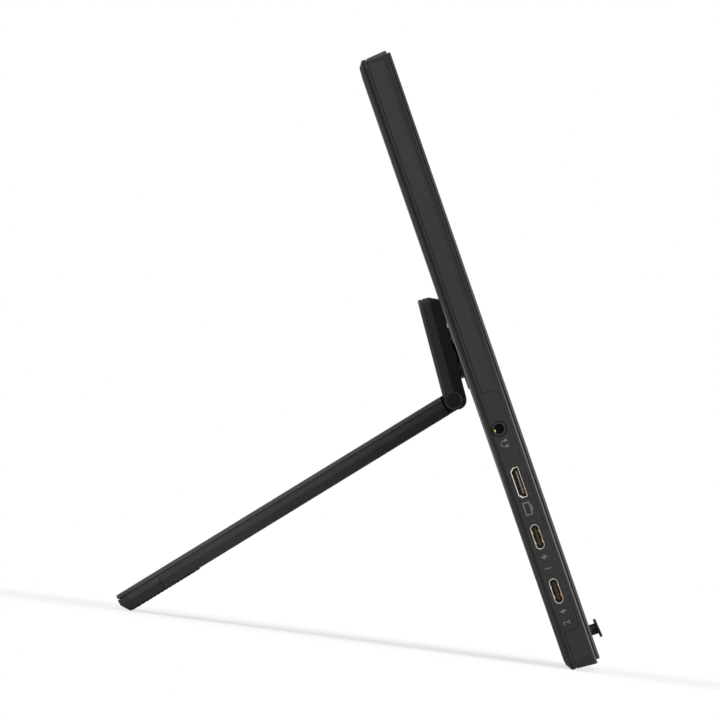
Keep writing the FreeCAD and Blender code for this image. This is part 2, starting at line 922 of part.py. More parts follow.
def stick_ring():
    """Outer gimbal ring: pins across, holes for the rocker's pins up and down."""
    back = stick_pivot_depth - stick_ring_thickness / 2
    front = stick_pivot_depth + stick_ring_thickness / 2
    reach = stick_base_size / 2 - stick_base_wall + stick_pin_reach
    pins = rod(stick_pin_radius, stick_x - reach, stick_x + reach, -stick_pivot_depth, stick_height)
    body = post(stick_x, stick_height, stick_ring_outer, back, front).fuse(pins).removeSplitter()
    space = post(stick_x, stick_height, stick_ring_inner, back - overrun, front + overrun)
    low = FreeCAD.Vector(stick_x, -stick_pivot_depth, stick_height - stick_ring_outer - overrun)
    hole = Part.makeCylinder(stick_pin_radius + stick_pin_clearance,
                             2 * (stick_ring_outer + overrun), low)
    return cut_all(body, [space, hole])


def stick_rocker():
    """Inner rocker: pins up and down, and the hole that the stem slides in."""
    back = stick_pivot_depth - stick_rocker_thickness / 2
    front = stick_pivot_depth + stick_rocker_thickness / 2
    reach = stick_ring_inner + stick_pin_reach
    low = FreeCAD.Vector(stick_x, -stick_pivot_depth, stick_height - reach)
    pins = Part.makeCylinder(stick_pin_radius, 2 * reach, low)
    body = post(stick_x, stick_height, stick_rocker_radius, back, front).fuse(pins).removeSplitter()
    return body.cut(post(stick_x, stick_height, stick_stem_radius + stick_stem_clearance,
                         back - overrun, front + overrun))


def stick_cap():
    """Round cap with a soft edge, its face sloped a little."""
    front = bezel_front + stick_reach
    back = front - stick_cap_thickness
    disc = post(stick_x, stick_height, stick_cap_radius, back, front)
    rims = [edge for edge in disc.Edges if edge.Closed]
    disc = disc.makeFillet(stick_cap_round, rims)
    middle = FreeCAD.Vector(stick_x, -(front + back) / 2, stick_height)
    disc.rotate(middle, across, -stick_cap_slope)
    return disc


def stick_stem():
    """Thin stem in the rocker with a thicker neck that ends at the cap."""
    middle = bezel_front + stick_reach - stick_cap_thickness / 2
    thin = post(stick_x, stick_height, stick_stem_radius, stick_stem_back, stick_neck_back)
    neck = post(stick_x, stick_height, stick_neck_radius, stick_neck_back, middle)
    return thin.fuse(neck).removeSplitter().cut(stick_cap())


# Stand hub, drawn upright with the display

tilt_reach = short_leaf_reach - leaf_chamfer_inset - tilt_pin_reach
tilt_turn = math.radians(leaf_tilt)
tilt_rest_height = tilt_pin_height - short_leaf_relief
tilt_pin_y = tilt_rest_height * math.cos(tilt_turn) + tilt_reach * math.sin(tilt_turn) + stop_gap
hub_plate_front = cover_wall + hub_plate_thickness
hub_washer_back = hub_plate_front + hub_washer_gap
wave_washer_back = hub_washer_back + hub_washer_thickness
clip_back = wave_washer_back + wave_washer_thickness
clip_front = clip_back + clip_thickness


def hub_plate():
    """Steel plate inside the rear cover that spreads the stand's load."""
    half = hub_plate_width / 2
    rise = hub_plate_height / 2
    plate = rounded_plate(-half, half, hub_height - rise, hub_height + rise, hub_plate_radius,
                          cover_wall, hub_plate_front)
    holes = [post(x, z, hub_post_radius + hub_post_gap, cover_wall - overrun,
                  hub_plate_front + overrun) for x, z in hub_screw_places()]
    holes.append(post(0, hub_height, bush_radius + seat_clearance, 0, hub_plate_front + overrun))
    return cut_all(plate, holes)


def hub_bush():
    """Flanged bush in the rear cover and the hub plate."""
    sleeve = post(0, hub_height, bush_radius, 0, hub_plate_front)
    flange = post(0, hub_height, bush_flange_radius, 0, bush_flange)
    bore = post(0, hub_height, hub_shaft_radius + hub_running_clearance, -overrun,
                hub_plate_front + overrun)
    return sleeve.fuse(flange).removeSplitter().cut(bore)


def swivel_hub():
    """Round boss with two flats on a thin flange outside, and the shaft that turns in the bush."""
    top = tilt_pin_y + hub_boss_top
    boss = post(0, hub_height, hub_boss_radius, -top, -hub_back_gap)
    flats = box(-hub_boss_flat, hub_boss_flat, -top, -hub_back_gap,
                hub_height - hub_boss_radius, hub_height + hub_boss_radius)
    flange = post(0, hub_height, hub_flange_radius, -hub_back_gap - hub_flange_thickness, -hub_back_gap)
    shaft = post(0, hub_height, hub_shaft_radius, -hub_back_gap, hub_shaft_end)
    groove = tube_post(0, hub_height, hub_shaft_radius + overrun, hub_shaft_radius - clip_groove,
                       clip_back, clip_front)
    hole = rod(tilt_pin_radius + pin_clearance, -hub_boss_radius, hub_boss_radius,
               tilt_pin_y, hub_height)
    return cut_all(fuse_all([boss.common(flats), flange, shaft]), [groove, hole])


def hub_washer():
    """Friction washer between the hub plate and the spring washer."""
    return tube_post(0, hub_height, hub_washer_radius, hub_shaft_radius + seat_clearance,
                     hub_washer_back, wave_washer_back)


def hub_wave_washer():
    """Spring washer, drawn flat as it is when clamped."""
    return tube_post(0, hub_height, wave_washer_radius, hub_shaft_radius + seat_clearance,
                     wave_washer_back, clip_back)


def hub_clip():
    """Open retaining clip in the shaft's groove."""
    ring = tube_post(0, hub_height, clip_radius, hub_shaft_radius - clip_groove + seat_clearance,
                     clip_back, clip_front)
    mouth = box(-clip_mouth / 2, clip_mouth / 2, clip_back - overrun, clip_front + overrun,
                hub_height - clip_radius - overrun, hub_height)
    return ring.cut(mouth)


# Stand leaves, drawn from the axis of the bend hinge: z runs along the leaf and y to its metal face


def leaf_plate(inset, reach, y, root):
    """Outline of a leaf, its far corners round."""
    half = stand_width / 2 - inset
    radius = leaf_corner_radius - inset
    return rounded_wire(-half, half, root - leaf_corner_radius + inset, reach - inset, radius, y)


def leaf_tray(inner, chamfer_height, groove_inset, top, reach, root, side):
    """Moulded body of a leaf: chamfered towards the inside, with a groove under its metal face."""
    shoulder = inner + chamfer_height
    low = leaf_plate(leaf_chamfer_inset, reach, side * inner, root)
    wide = leaf_plate(0, reach, side * shoulder, root)
    chamfer = Part.makeLoft([low, wide], True, True)
    straight = Part.Face(wide).extrude(FreeCAD.Vector(0, side * (top - leaf_groove - shoulder), 0))
    neck = Part.Face(leaf_plate(groove_inset, reach, side * (top - leaf_groove), root))
    neck = neck.extrude(FreeCAD.Vector(0, side * leaf_groove, 0))
    whole = fuse_all([chamfer, straight, neck])
    below = Part.makeBox(2 * stand_width, 2 * leaf_corner_radius + short_leaf_thickness, stand_width,
                         FreeCAD.Vector(-stand_width, -leaf_corner_radius - short_leaf_thickness / 2,
                                        root - stand_width))
    return whole.cut(below)


def leaf_box(x0, x1, n0, n1, z0, z1, side):
    """Box in a leaf, between two heights above its hinge axis."""
    y0, y1 = (n0, n1) if side > 0 else (-n1, -n0)
    return Part.makeBox(x1 - x0, y1 - y0, z1 - z0, FreeCAD.Vector(x0, y0, z0))


def leaf_face(top, outer, reach, root, side):
    """Metal face of a leaf with a bevelled edge."""
    low = leaf_plate(0, reach, side * top, root)
    shoulder = leaf_plate(0, reach, side * (outer - skin_bevel), root)
    high = leaf_plate(skin_bevel, reach, side * outer, root)
    plate = Part.Face(low).extrude(FreeCAD.Vector(0, side * (outer - skin_bevel - top), 0))
    whole = fuse_all([plate, Part.makeLoft([shoulder, high], True, True)])
    half = stand_width
    return whole.cut(leaf_box(-half, half, top - overrun, outer + overrun, root - half, root, side))


def short_leaf_body():
    """Tray of the short leaf: knuckles, hub block, two hollows, and a flat that meets the back."""
    body = leaf_tray(short_inner, short_chamfer_height, short_groove_inset, short_top, short_leaf_reach, 0, 1)
    half = stand_width / 2
    clear = barrel_radius + barrel_clearance
    knuckles = []
    for x0, x1 in ((-half, -knuckle_inner), (knuckle_inner, half)):
        knuckles.append(rod(barrel_radius, x0, x1, 0, 0))
        inner = x0 + leaf_chamfer_inset * (x0 < 0)
        outer = x1 - leaf_chamfer_inset * (x1 > 0)
        knuckles.append(rod(knuckle_round, inner, outer, short_inner + knuckle_round, 0))
        knuckles.append(leaf_box(x0, x1, 0, short_axis_inset - skin_bevel, 0,
                                 short_skin_start - stop_gap, 1))
    middle = leaf_box(-knuckle_inner, knuckle_inner, short_inner - overrun, short_top + overrun,
                      -clear, short_skin_start, 1)
    body = cut_all(body, [middle, rod(clear, -knuckle_inner, knuckle_inner, 0, 0)])
    body = fuse_all([body] + knuckles)
    floor = short_inner + leaf_floor
    low = short_skin_start + barrel_clearance + leaf_wall
    high = short_leaf_reach - leaf_chamfer_inset - leaf_wall
    side = half - leaf_chamfer_inset - leaf_wall
    tools = []
    for x0, x1 in ((-side, -hub_block_width / 2), (hub_block_width / 2, side)):
        tools.append(leaf_box(x0, x1, floor, short_top + overrun, low, high, 1))
    pocket = hub_boss_radius + hub_pocket_clearance
    wide = hub_boss_flat + 2 * tilt_washer_gap + tilt_washer_thickness
    tools.append(leaf_box(-wide, wide, short_inner - overrun, short_top + overrun,
                          tilt_pin_reach - pocket, tilt_pin_reach + pocket, 1))
    tools.append(rod(tilt_pin_radius + seat_clearance, -hub_block_width, hub_block_width,
                     tilt_pin_n, tilt_pin_reach))
    tools.append(rod(bend_pin_radius + seat_clearance, -stand_width, stand_width, 0, 0))
    cap = barrel_radius - end_cap_rim + seat_clearance
    for x0 in (-half, half - end_cap_thickness):
        tools.append(rod(cap, x0, x0 + end_cap_thickness, 0, 0))
    back = box(-stand_width, stand_width, -stop_gap, stand_width, 0, panel_height)
    recess = post(0, hub_height, hub_flange_radius + hub_pocket_clearance,
                  -hub_back_gap - hub_flange_thickness - stop_gap, 0)
    tools += [shape.transformed(short_place.inverse().toMatrix()) for shape in (back, recess)]
    return cut_all(body, tools)


def short_leaf_skin():
    """Metal face of the short leaf, cut clear of the barrel."""
    reach = short_leaf_reach - short_skin_setback
    plate = leaf_face(short_top, short_axis_inset, reach, short_skin_start, 1)
    return plate.cut(rod(barrel_radius + barrel_clearance, -stand_width, stand_width, 0, 0))


def tilt_pin():
    """Pin through the hub boss."""
    half = tilt_pin_length / 2
    return rod(tilt_pin_radius, -half, half, tilt_pin_n, tilt_pin_reach)


def tilt_washers():
    """Friction washers on both sides of the hub boss."""
    rings = []
    for x0 in (-hub_boss_flat - tilt_washer_gap - tilt_washer_thickness, hub_boss_flat + tilt_washer_gap):
        x1 = x0 + tilt_washer_thickness
        ring = rod(tilt_washer_radius, x0, x1, tilt_pin_n, tilt_pin_reach)
        rings.append(ring.cut(rod(tilt_pin_radius + seat_clearance, x0 - overrun, x1 + overrun,
                                  tilt_pin_n, tilt_pin_reach)))
    return Part.makeCompound(rings)


def bend_pin():
    """Pin of the bend hinge, between the end caps."""
    half = stand_width / 2 - end_cap_thickness
    return rod(bend_pin_radius, -half, half, 0, 0)


def hinge_end_caps():
    """Discs that close both ends of the barrel."""
    half = stand_width / 2
    radius = barrel_radius - end_cap_rim
    return Part.makeCompound([rod(radius, x0, x0 + end_cap_thickness, 0, 0)
                              for x0 in (-half, half - end_cap_thickness)])


def sleeve_places():
    """Where the two friction sleeves start across the width."""
    return (-long_knuckle_half + sleeve_inset, long_knuckle_half - sleeve_inset - sleeve_length)


def foot_pad_recess(gap):
    """Space of the rubber pad under the foot."""
    half = stand_width / 2 - leaf_chamfer_inset - foot_pad_margin + gap
    return leaf_box(-half, half, long_inner - overrun, long_inner + foot_pad_sink,
                    foot_pad_start - gap, foot_pad_end + gap, -1)


def foot_tongue(gap):
    """Tongue of the long leaf that the rubber end piece is pushed onto."""
    half = stand_width / 2 - foot_tongue_margin + gap
    middle = (long_inner + foot_pad_sink + long_top) / 2
    thick = foot_tongue_thickness / 2 + gap
    return leaf_box(-half, half, middle - thick, middle + thick, foot_split - leaf_wall,
                    foot_split + foot_tongue_length + gap, -1)


def long_leaf_body():
    """Tray of the long leaf: middle knuckle with a stop nose, ribs, and a tongue for the foot."""
    body = leaf_tray(long_inner, long_chamfer_height, long_groove_inset, long_top, long_leaf_reach,
                     long_leaf_root, -1)
    beyond = leaf_box(-stand_width, stand_width, long_inner - overrun, long_top + overrun,
                      foot_split, 2 * long_leaf_reach, -1)
    body = cut_all(body, [beyond, foot_pad_recess(foot_pad_clearance)])
    half_angle = leaf_angle / 2
    on_barrel = (-barrel_radius * math.sin(half_angle), barrel_radius * math.cos(half_angle))
    lip = long_leaf_root - stop_gap
    nose = [
        (-long_inner, 0),
        (-long_inner, long_leaf_root),
        (-long_top, long_leaf_root),
        (-long_top, lip),
        (-long_axis_inset, lip),
        (-long_axis_inset, nose_along + stop_gap),
        on_barrel,
        (0, 0),
    ]
    knuckle = fuse_all([rod(barrel_radius, -long_knuckle_half, long_knuckle_half, 0, 0),
                        prism(nose, -long_knuckle_half, long_knuckle_half)])
    body = fuse_all([body, knuckle, foot_tongue(0)])
    tools = [rod(bend_pin_radius + barrel_clearance, -stand_width, stand_width, 0, 0)]
    for x0 in sleeve_places():
        tools.append(rod(sleeve_radius + seat_clearance, x0, x0 + sleeve_length, 0, 0))
    side = stand_width / 2 - leaf_chamfer_inset - leaf_wall
    low = long_leaf_root + leaf_wall
    high = foot_pad_start - leaf_wall
    cell = (high - low - (long_rib_count - 1) * long_rib_thickness) / long_rib_count
    for index in range(long_rib_count):
        z0 = low + index * (cell + long_rib_thickness)
        tools.append(leaf_box(-side, side, long_inner + leaf_floor, long_top + overrun, z0, z0 + cell, -1))
    return cut_all(body, tools)


def long_leaf_skin():
    """Metal face of the long leaf."""
    return leaf_face(long_top, long_axis_inset, long_leaf_reach - long_skin_setback, long_leaf_root, -1)


def torque_sleeves():
    """Friction sleeves that grip the bend pin."""
    sleeves = []
    for x0 in sleeve_places():
        x1 = x0 + sleeve_length
        bore = rod(bend_pin_radius + pin_clearance, x0 - overrun, x1 + overrun, 0, 0)
        sleeves.append(rod(sleeve_radius, x0, x1, 0, 0).cut(bore))
    return Part.makeCompound(sleeves)


def foot_end():
    """Rubber end piece of the long leaf."""
    body = leaf_tray(long_inner, long_chamfer_height, long_groove_inset, long_top, long_leaf_reach,
                     foot_split + foot_gap, -1)
    return cut_all(body, [foot_pad_recess(foot_pad_clearance), foot_tongue(foot_tongue_clearance)])


def foot_pad():
    """Rubber pad under the foot, a little proud of it."""
    half = stand_width / 2 - leaf_chamfer_inset - foot_pad_margin
    return leaf_box(-half, half, long_inner - foot_pad_proud, long_inner + foot_pad_sink,
                    foot_pad_start, foot_pad_end, -1)


# Places of the bodies: leaf to display, then display to the table

short_place = FreeCAD.Placement(
    FreeCAD.Vector(0, tilt_pin_y, hub_height),
    FreeCAD.Rotation(across, leaf_tilt),
).multiply(FreeCAD.Placement(FreeCAD.Vector(0, -tilt_pin_n, -tilt_pin_reach), FreeCAD.Rotation()))
long_place = short_place.multiply(
    FreeCAD.Placement(origin, FreeCAD.Rotation(across, 180 + leaf_bend)))
upright = FreeCAD.Placement()
cover_edge = FreeCAD.Vector(0, -cover_chamfer_depth, back_bottom)
foot_edge = long_place.multVec(FreeCAD.Vector(0, foot_pad_proud - long_inner, foot_pad_end))
table_line = foot_edge - cover_edge
lean = math.degrees(math.atan2(table_line.z, table_line.y))
leaned = FreeCAD.Rotation(across, -lean)

display_pieces = [
    mid_frame, rear_cover, front_bezel, bezel_tape, lcd_panel, optical_films, light_guide, led_bar,
    reflector_sheet, backlight_tray, tray_insulator, source_board, panel_cable, main_board,
    shield_can, power_coils, headphone_jack, jack_contact, video_port_shell, video_port_tongue,
    joystick_board, joystick_base, joystick_dome, joystick_ribbon, hub_plate, hub_bush,
    board_screws, hub_screws, tray_screws, stick_ring, stick_rocker, stick_stem, stick_cap,
    swivel_hub, hub_washer, hub_wave_washer, hub_clip,
]
short_leaf_pieces = [
    short_leaf_body, short_leaf_skin, tilt_pin, tilt_washers, bend_pin, hinge_end_caps,
]
long_leaf_pieces = [long_leaf_body, long_leaf_skin, torque_sleeves, foot_end, foot_pad]

pieces = {make.__name__: (make(), upright) for make in display_pieces}
for port, height in (("oval_lower", oval_lower_height), ("oval_upper", oval_upper_height)):
    pieces[port + "_shell"] = (oval_shell(height), upright)
    pieces[port + "_tongue"] = (oval_tongue(height), upright)
pieces.update({make.__name__: (make(), short_place) for make in short_leaf_pieces})
pieces.update({make.__name__: (make(), long_place) for make in long_leaf_pieces})

standing = FreeCAD.Placement(origin, leaned)
placed = {name: shape.transformed(standing.multiply(place).toMatrix())
          for name, (shape, place) in pieces.items()}
extents = [shape.optimalBoundingBox(False) for shape in placed.values()]
middle_y = (min(extent.YMin for extent in extents) + max(extent.YMax for extent in extents)) / 2
table_z = standing.multVec(cover_edge).z
standing = FreeCAD.Placement(FreeCAD.Vector(0, -middle_y, -table_z), leaned)

os.makedirs("parts", exist_ok=True)
for name, shape in placed.items():
    shape = shape.translated(FreeCAD.Vector(0, -middle_y, -table_z))
    print(name, len(shape.Solids), "valid" if shape.isValid() else "not valid", round(shape.Volume, 1))
    shape.exportStep("parts/" + name + ".step")
print("lean", round(lean, 3))
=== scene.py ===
# %% [markdown]
# # A portable monitor on its folding stand
# The monitor was drawn piece by piece as solids: casing, screen, sockets, hinges and stand.
# This lesson dresses those solids. Each one gets the finish of the real piece, and what a maker
# adds last, such as contacts, printed marks and the ribs of the rubber foot, is made here.
# The solids are loaded first and stay where they are, because the hinges depend on them.

# %% Load the solids
import json
import math

import bmesh
import bpy
from mathutils import Matrix, Vector
from mathutils.bvhtree import BVHTree


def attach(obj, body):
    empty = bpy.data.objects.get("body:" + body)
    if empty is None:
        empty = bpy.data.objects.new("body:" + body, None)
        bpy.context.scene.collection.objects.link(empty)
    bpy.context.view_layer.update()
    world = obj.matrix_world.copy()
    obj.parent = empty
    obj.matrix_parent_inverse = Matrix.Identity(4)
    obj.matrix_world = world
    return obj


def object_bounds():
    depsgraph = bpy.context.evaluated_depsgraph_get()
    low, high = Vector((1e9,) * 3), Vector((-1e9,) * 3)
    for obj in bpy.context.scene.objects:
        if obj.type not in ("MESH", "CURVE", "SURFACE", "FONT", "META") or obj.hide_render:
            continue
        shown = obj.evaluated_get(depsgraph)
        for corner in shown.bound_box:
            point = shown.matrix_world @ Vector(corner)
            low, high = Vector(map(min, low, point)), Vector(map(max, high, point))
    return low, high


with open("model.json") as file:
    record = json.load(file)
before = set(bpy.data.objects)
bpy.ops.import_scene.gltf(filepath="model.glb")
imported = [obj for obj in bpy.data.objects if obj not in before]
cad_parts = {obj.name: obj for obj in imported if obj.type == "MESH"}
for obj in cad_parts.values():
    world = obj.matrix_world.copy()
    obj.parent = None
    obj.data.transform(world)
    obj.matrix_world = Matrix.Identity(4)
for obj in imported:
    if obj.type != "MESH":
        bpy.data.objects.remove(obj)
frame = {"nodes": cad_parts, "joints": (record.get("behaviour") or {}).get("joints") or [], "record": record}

cad_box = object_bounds()
nodes = frame["nodes"]
print("solids", len(nodes), "lowest corner", cad_box[0], "highest corner", cad_box[1])

# %% [markdown]
# The display leans back on its stand, so up and down along the screen are not the world's Z.
# Its directions could be typed in as angles, but the hinges already hold them: the stand swivels
# about a line square to the back, and the menu stick rocks about a line that runs up the screen.
# Everything below is placed with these directions and with sizes read from the solids.

# %% The display's own directions
joints = {joint["name"]: joint for joint in frame["joints"]}
across = Vector((1, 0, 0))
panel_up = Vector(joints["stick_left_right"]["axis"]).normalized()
panel_front = -Vector(joints["stand_swivel"]["axis"]).normalized()
barrel = Vector(joints["stand_bend"]["pos_m"])
lean = math.atan2(panel_up.y, panel_up.z)


def extent(node, axis):
    """Lowest and highest place of a solid along an axis."""
    places = [corner.co.dot(axis) for corner in nodes[node].data.vertices]
    return min(places), max(places)


panel_foot = extent("mid_frame", panel_up)[0]
back_plane = extent("rear_cover", panel_front)[0]
near_side = extent("mid_frame", across)[0]


def on_panel(x, height, depth):
    """Point of the display: x across, height above its lower edge, depth from its back."""
    return across * x + panel_up * (panel_foot + height) + panel_front * (back_plane + depth)


def height_of(node):
    """Height of a solid's middle above the lower edge of the display."""
    return sum(extent(node, panel_up)) / 2 - panel_foot


def depth_of(node):
    """Depth of a solid's middle from the back of the display."""
    return sum(extent(node, panel_front)) / 2 - back_plane


print("lean in degrees", round(math.degrees(lean), 2), "near side at", round(near_side, 4))

# %% [markdown]
# A product picture of the narrow side is taken from far away with a long lens, so that the near
# and the far edge of the casing cover each other. A parallel camera would do that too, but it
# keeps its width in every other view and would crop the screen, so a very long lens is better.
# The picture is turned a little: the display stands more upright in it than on the table.

# %% Camera
photo_size = 720
photo_scale = 0.0003488
photo_corner = (568.9, 673.3)
panel_slope_in_photo = math.radians(19.10)
camera_distance = 11.5
camera_sensor = 36.0
eye_height = 0.075
eye_behind = 0.010


def new_object(name, data):
    """Object in the scene, made from its data."""
    made = bpy.data.objects.new(name, data)
    bpy.context.scene.collection.objects.link(made)
    return made


def set_up_camera():
    """Camera on the socket side, its axis aimed at the middle of the picture."""
    picture_up = panel_up * math.cos(panel_slope_in_photo)
    picture_up += across.cross(panel_up) * math.sin(panel_slope_in_photo)
    picture_right = across.cross(picture_up)
    middle = on_panel(near_side, 0, 0)
    middle += picture_right * (photo_size / 2 - photo_corner[0]) * photo_scale
    middle += picture_up * (photo_corner[1] - photo_size / 2) * photo_scale
    eye = on_panel(near_side - camera_distance, eye_height, -eye_behind)
    forward = (middle - eye).normalized()
    right = forward.cross(picture_up).normalized()
    turn = Matrix((right, right.cross(forward), -forward)).transposed().to_4x4()
    data = bpy.data.cameras.new("long_lens")
    data.sensor_width = camera_sensor
    data.lens = camera_sensor * camera_distance / (photo_size * photo_scale)
    data.clip_end = 10 * camera_distance
    camera = new_object("long_lens", data)
    camera.matrix_world = Matrix.Translation(eye) @ turn
    bpy.context.scene.camera = camera
    return camera


print("lens in mm", round(set_up_camera().data.lens, 1))

# %% [markdown]
# A finish is worked out by a tree of nodes. Written node by node it is long and hard to read, so
# one small class wraps a socket: sums of wires add the nodes that work the sums out, and the
# method named node adds any other node. Settings go in before values, because some settings
# change which sockets a node has. The same class serves the trees that make geometry.


# %% Wires
class Wire:
    """A socket of a node tree."""

    def __init__(self, tree, socket=None):
        self.tree = tree
        self.socket = socket

    def node(self, kind, settings, sockets, output=0):
        """Any node: its settings first, then a value or a wire for each socket."""
        made = self.tree.nodes.new(kind)
        for name, value in settings.items():
            setattr(made, name, value)
        for name, value in sockets.items():
            if isinstance(value, Wire):
                self.tree.links.new(value.socket, made.inputs[name])
            else:
                made.inputs[name].default_value = value
        return Wire(self.tree, made.outputs[output])

    def maths(self, operation, first, second, clamp=False):
        """Math node on two values."""
        settings = {"operation": operation, "use_clamp": clamp}
        return self.node("ShaderNodeMath", settings, {0: first, 1: second})

    def __add__(self, other):
        return self.maths("ADD", self, other)

    def __radd__(self, other):
        return self.maths("ADD", other, self)

    def __sub__(self, other):
        return self.maths("SUBTRACT", self, other)

    def __rsub__(self, other):
        return self.maths("SUBTRACT", other, self)

    def __mul__(self, other):
        return self.maths("MULTIPLY", self, other)

    def __gt__(self, other):
        return self.maths("GREATER_THAN", self, other)

    def __abs__(self):
        return self.maths("ABSOLUTE", self, 0)


print("wires add, take away, multiply, compare and lose their sign")

# %% [markdown]
# Real surfaces are never one flat colour. A moulding has a fine grain from its mould and cloudy
# patches of tone. Painted pictures could hold these, but they blur close up, so the patterns are
# worked out from the place of each point. These few helpers read object coordinates in metres,
# turned with the display, so a grain of 0.5 mm is 0.5 mm on every piece.


# %% Patterns that the finishes share
def grey(tone, warmth=0.0):
    """Colour of one tone, warmer above zero and cooler below."""
    return (tone * (1 + warmth), tone, tone * (1 - warmth), 1.0)


def place_on_panel(wire):
    """Object coordinates turned so that they lie along the leaned display."""
    place = wire.node("ShaderNodeTexCoord", {}, {}, "Object")
    return wire.node("ShaderNodeMapping", {}, {"Vector": place, "Rotation": (lean, 0, 0)})


def part_of(wire, place, letter):
    """One coordinate of a place."""
    return wire.node("ShaderNodeSeparateXYZ", {}, {"Vector": place}, letter)


def depth_from_back(wire, place):
    """Depth of each point from the display's back, from a place on the panel."""
    return part_of(wire, place, "Y") * -1 - back_plane


def height_from_foot(wire, place):
    """Height of each point above the display's lower edge, from a place on the panel."""
    return part_of(wire, place, "Z") - panel_foot


def speckle(wire, place, size, detail=2.0):
    """Soft noise whose spots are about the given size."""
    sockets = {"Vector": place, "Scale": 1 / size, "Detail": detail}
    return wire.node("ShaderNodeTexNoise", {}, sockets, "Fac")


def stretched(wire, place, scale):
    """Place scaled differently along each direction, for streaks and brushing."""
    return wire.node("ShaderNodeMapping", {}, {"Vector": place, "Scale": scale})


def spread(wire, value, low, high, low_result, high_result):
    """Values between low and high, spread between two results."""
    sockets = {"Value": value, "From Min": low, "From Max": high,
               "To Min": low_result, "To Max": high_result}
    return wire.node("ShaderNodeMapRange", {}, sockets)


def band(wire, value, rise, full, fall, gone, most=1.0):
    """Share that rises between the first two values and falls to 0 between the last two."""
    return spread(wire, value, rise, full, 0.0, most) * spread(wire, value, fall, gone, 1.0, 0.0)


def from_noise(wire, noise, low, high):
    """Noise, which seldom leaves its middle, spread between two results."""
    seldom_below, seldom_above = 0.3, 0.7
    return spread(wire, noise, seldom_below, seldom_above, low, high)


def blended(first, second, share):
    """Two patterns added up, the first one with the given share."""
    return first * share + second * (1 - share)


def mix_colour(wire, share, first, second):
    """First colour where the share is 0, second where it is 1."""
    return wire.node("ShaderNodeMix", {"data_type": "RGBA"}, {0: share, 6: first, 7: second}, 2)


print("lower edge of the display at", round(panel_foot, 4), "and its back at", round(back_plane, 4))

# %% [markdown]
# Edges of real pieces are a hair rounder and shinier than their faces. Rounding them all would
# take many thousands of faces, so the normal turns there instead, and fine relief comes the same
# way. The last helper makes a finish from what varies over it: colour, roughness and normal.


# %% Soft edges, relief and the finish itself
finishes = {}


def flat_normal(wire):
    """Normal of the face itself, before its edges are softened."""
    return wire.node("ShaderNodeNewGeometry", {}, {}, "Normal")


def faces_sideways(wire, low, high):
    """Share that is 1 on faces that look to the side and 0 on those that slope away."""
    sideways = abs(part_of(wire, flat_normal(wire), "X"))
    return spread(wire, sideways, low, high, 0.0, 1.0)


def vector_maths(wire, operation, first, second=(0, 0, 0), output="Vector"):
    """Vector Math node on two vectors."""
    return wire.node("ShaderNodeVectorMath", {"operation": operation}, {0: first, 1: second}, output)


def softened(wire, radius):
    """Normal that runs round sharp edges as if they had a radius."""
    return wire.node("ShaderNodeBevel", {"samples": 6}, {"Radius": radius})


def edge_share(wire, rounded):
    """How far a softened normal turns from the flat face, from 0 to 1."""
    turn_gain = 6.0
    along = vector_maths(wire, "DOT_PRODUCT", rounded, flat_normal(wire), "Value")
    return wire.maths("MULTIPLY", 1 - along, turn_gain, clamp=True)


def bumped(wire, height, depth, normal):
    """Normal with small relief, its depth in metres."""
    sockets = {"Strength": 1.0, "Distance": depth, "Height": height, "Normal": normal}
    return wire.node("ShaderNodeBump", {}, sockets)


def new_finish(name, build, **fixed):
    """Keeps a material with the colour, roughness and normal that build gives, and fixed values."""
    material = bpy.data.materials.new(name)
    material.use_nodes = True
    shader = material.node_tree.nodes["Principled BSDF"]
    for socket, value in fixed.items():
        shader.inputs[socket.replace("_", " ")].default_value = value
    varying = build(Wire(material.node_tree))
    for socket, wire in zip(("Base Color", "Roughness", "Normal"), varying):
        material.node_tree.links.new(wire.socket, shader.inputs[socket])
    finishes[name] = material
    return material


# %% [markdown]
# Most of the outside is moulded plastic. Its mould was etched, which leaves a dull, even grain,
# while the edges come out smoother, and their thin bright lines are a painted highlight in the colour.
# The grain could be real relief, but at a few hundredths of a millimetre a bump is enough, and the
# soft edges come from a normal that is averaged round the corner.


# %% Moulded plastic
def moulded(name, tone, warmth=0.0, grain=0.0004, depth=0.00001, gloss=0.5, edge=0.0002, shine=1.0,
            shade=None, mirror=0.3):
    """Etched moulding: grain, cloudy tone, a painted highlight on edges and, if given, shades over its
    colour.
    """
    cloud_size = 0.03
    grain_share = 0.6
    darker, lighter, edge_highlight_gain = 0.7, 1.3, 2.6
    gloss_swing = 0.06
    edge_highlight_cover, rim_polish = 0.8, 0.12

    def build(wire):
        place = place_on_panel(wire)
        spots = speckle(wire, place, grain, 3.0)
        cloud = speckle(wire, place, cloud_size)
        rounded = softened(wire, edge)
        edge_highlight = edge_share(wire, rounded) * shine
        share = from_noise(wire, blended(spots, cloud, grain_share), 0.0, 1.0)
        face = mix_colour(wire, share, grey(tone * darker, warmth), grey(tone * lighter, warmth))
        # Painted highlight: the colour is lighter where the softened normal turns at an edge.
        colour = mix_colour(wire, edge_highlight * edge_highlight_cover, face, grey(tone * edge_highlight_gain, warmth))
        if shade:
            colour = shade(wire, place, colour)
        rough = from_noise(wire, spots, gloss - gloss_swing, gloss + gloss_swing) - edge_highlight * rim_polish
        return colour, rough, bumped(wire, spots, depth, rounded)

    return new_finish(name, build, IOR=1.46, Specular_IOR_Level=mirror)


flat_enough = 0.0001
back_half = max(corner.co.x for corner in nodes["rear_cover"].data.vertices
                if corner.co.dot(panel_front) - back_plane < flat_enough)
flap_front = extent("rear_cover", panel_front)[1] - back_plane
print("flat back reaches", round(back_half, 4), "and the port flap", round(flap_front, 4))
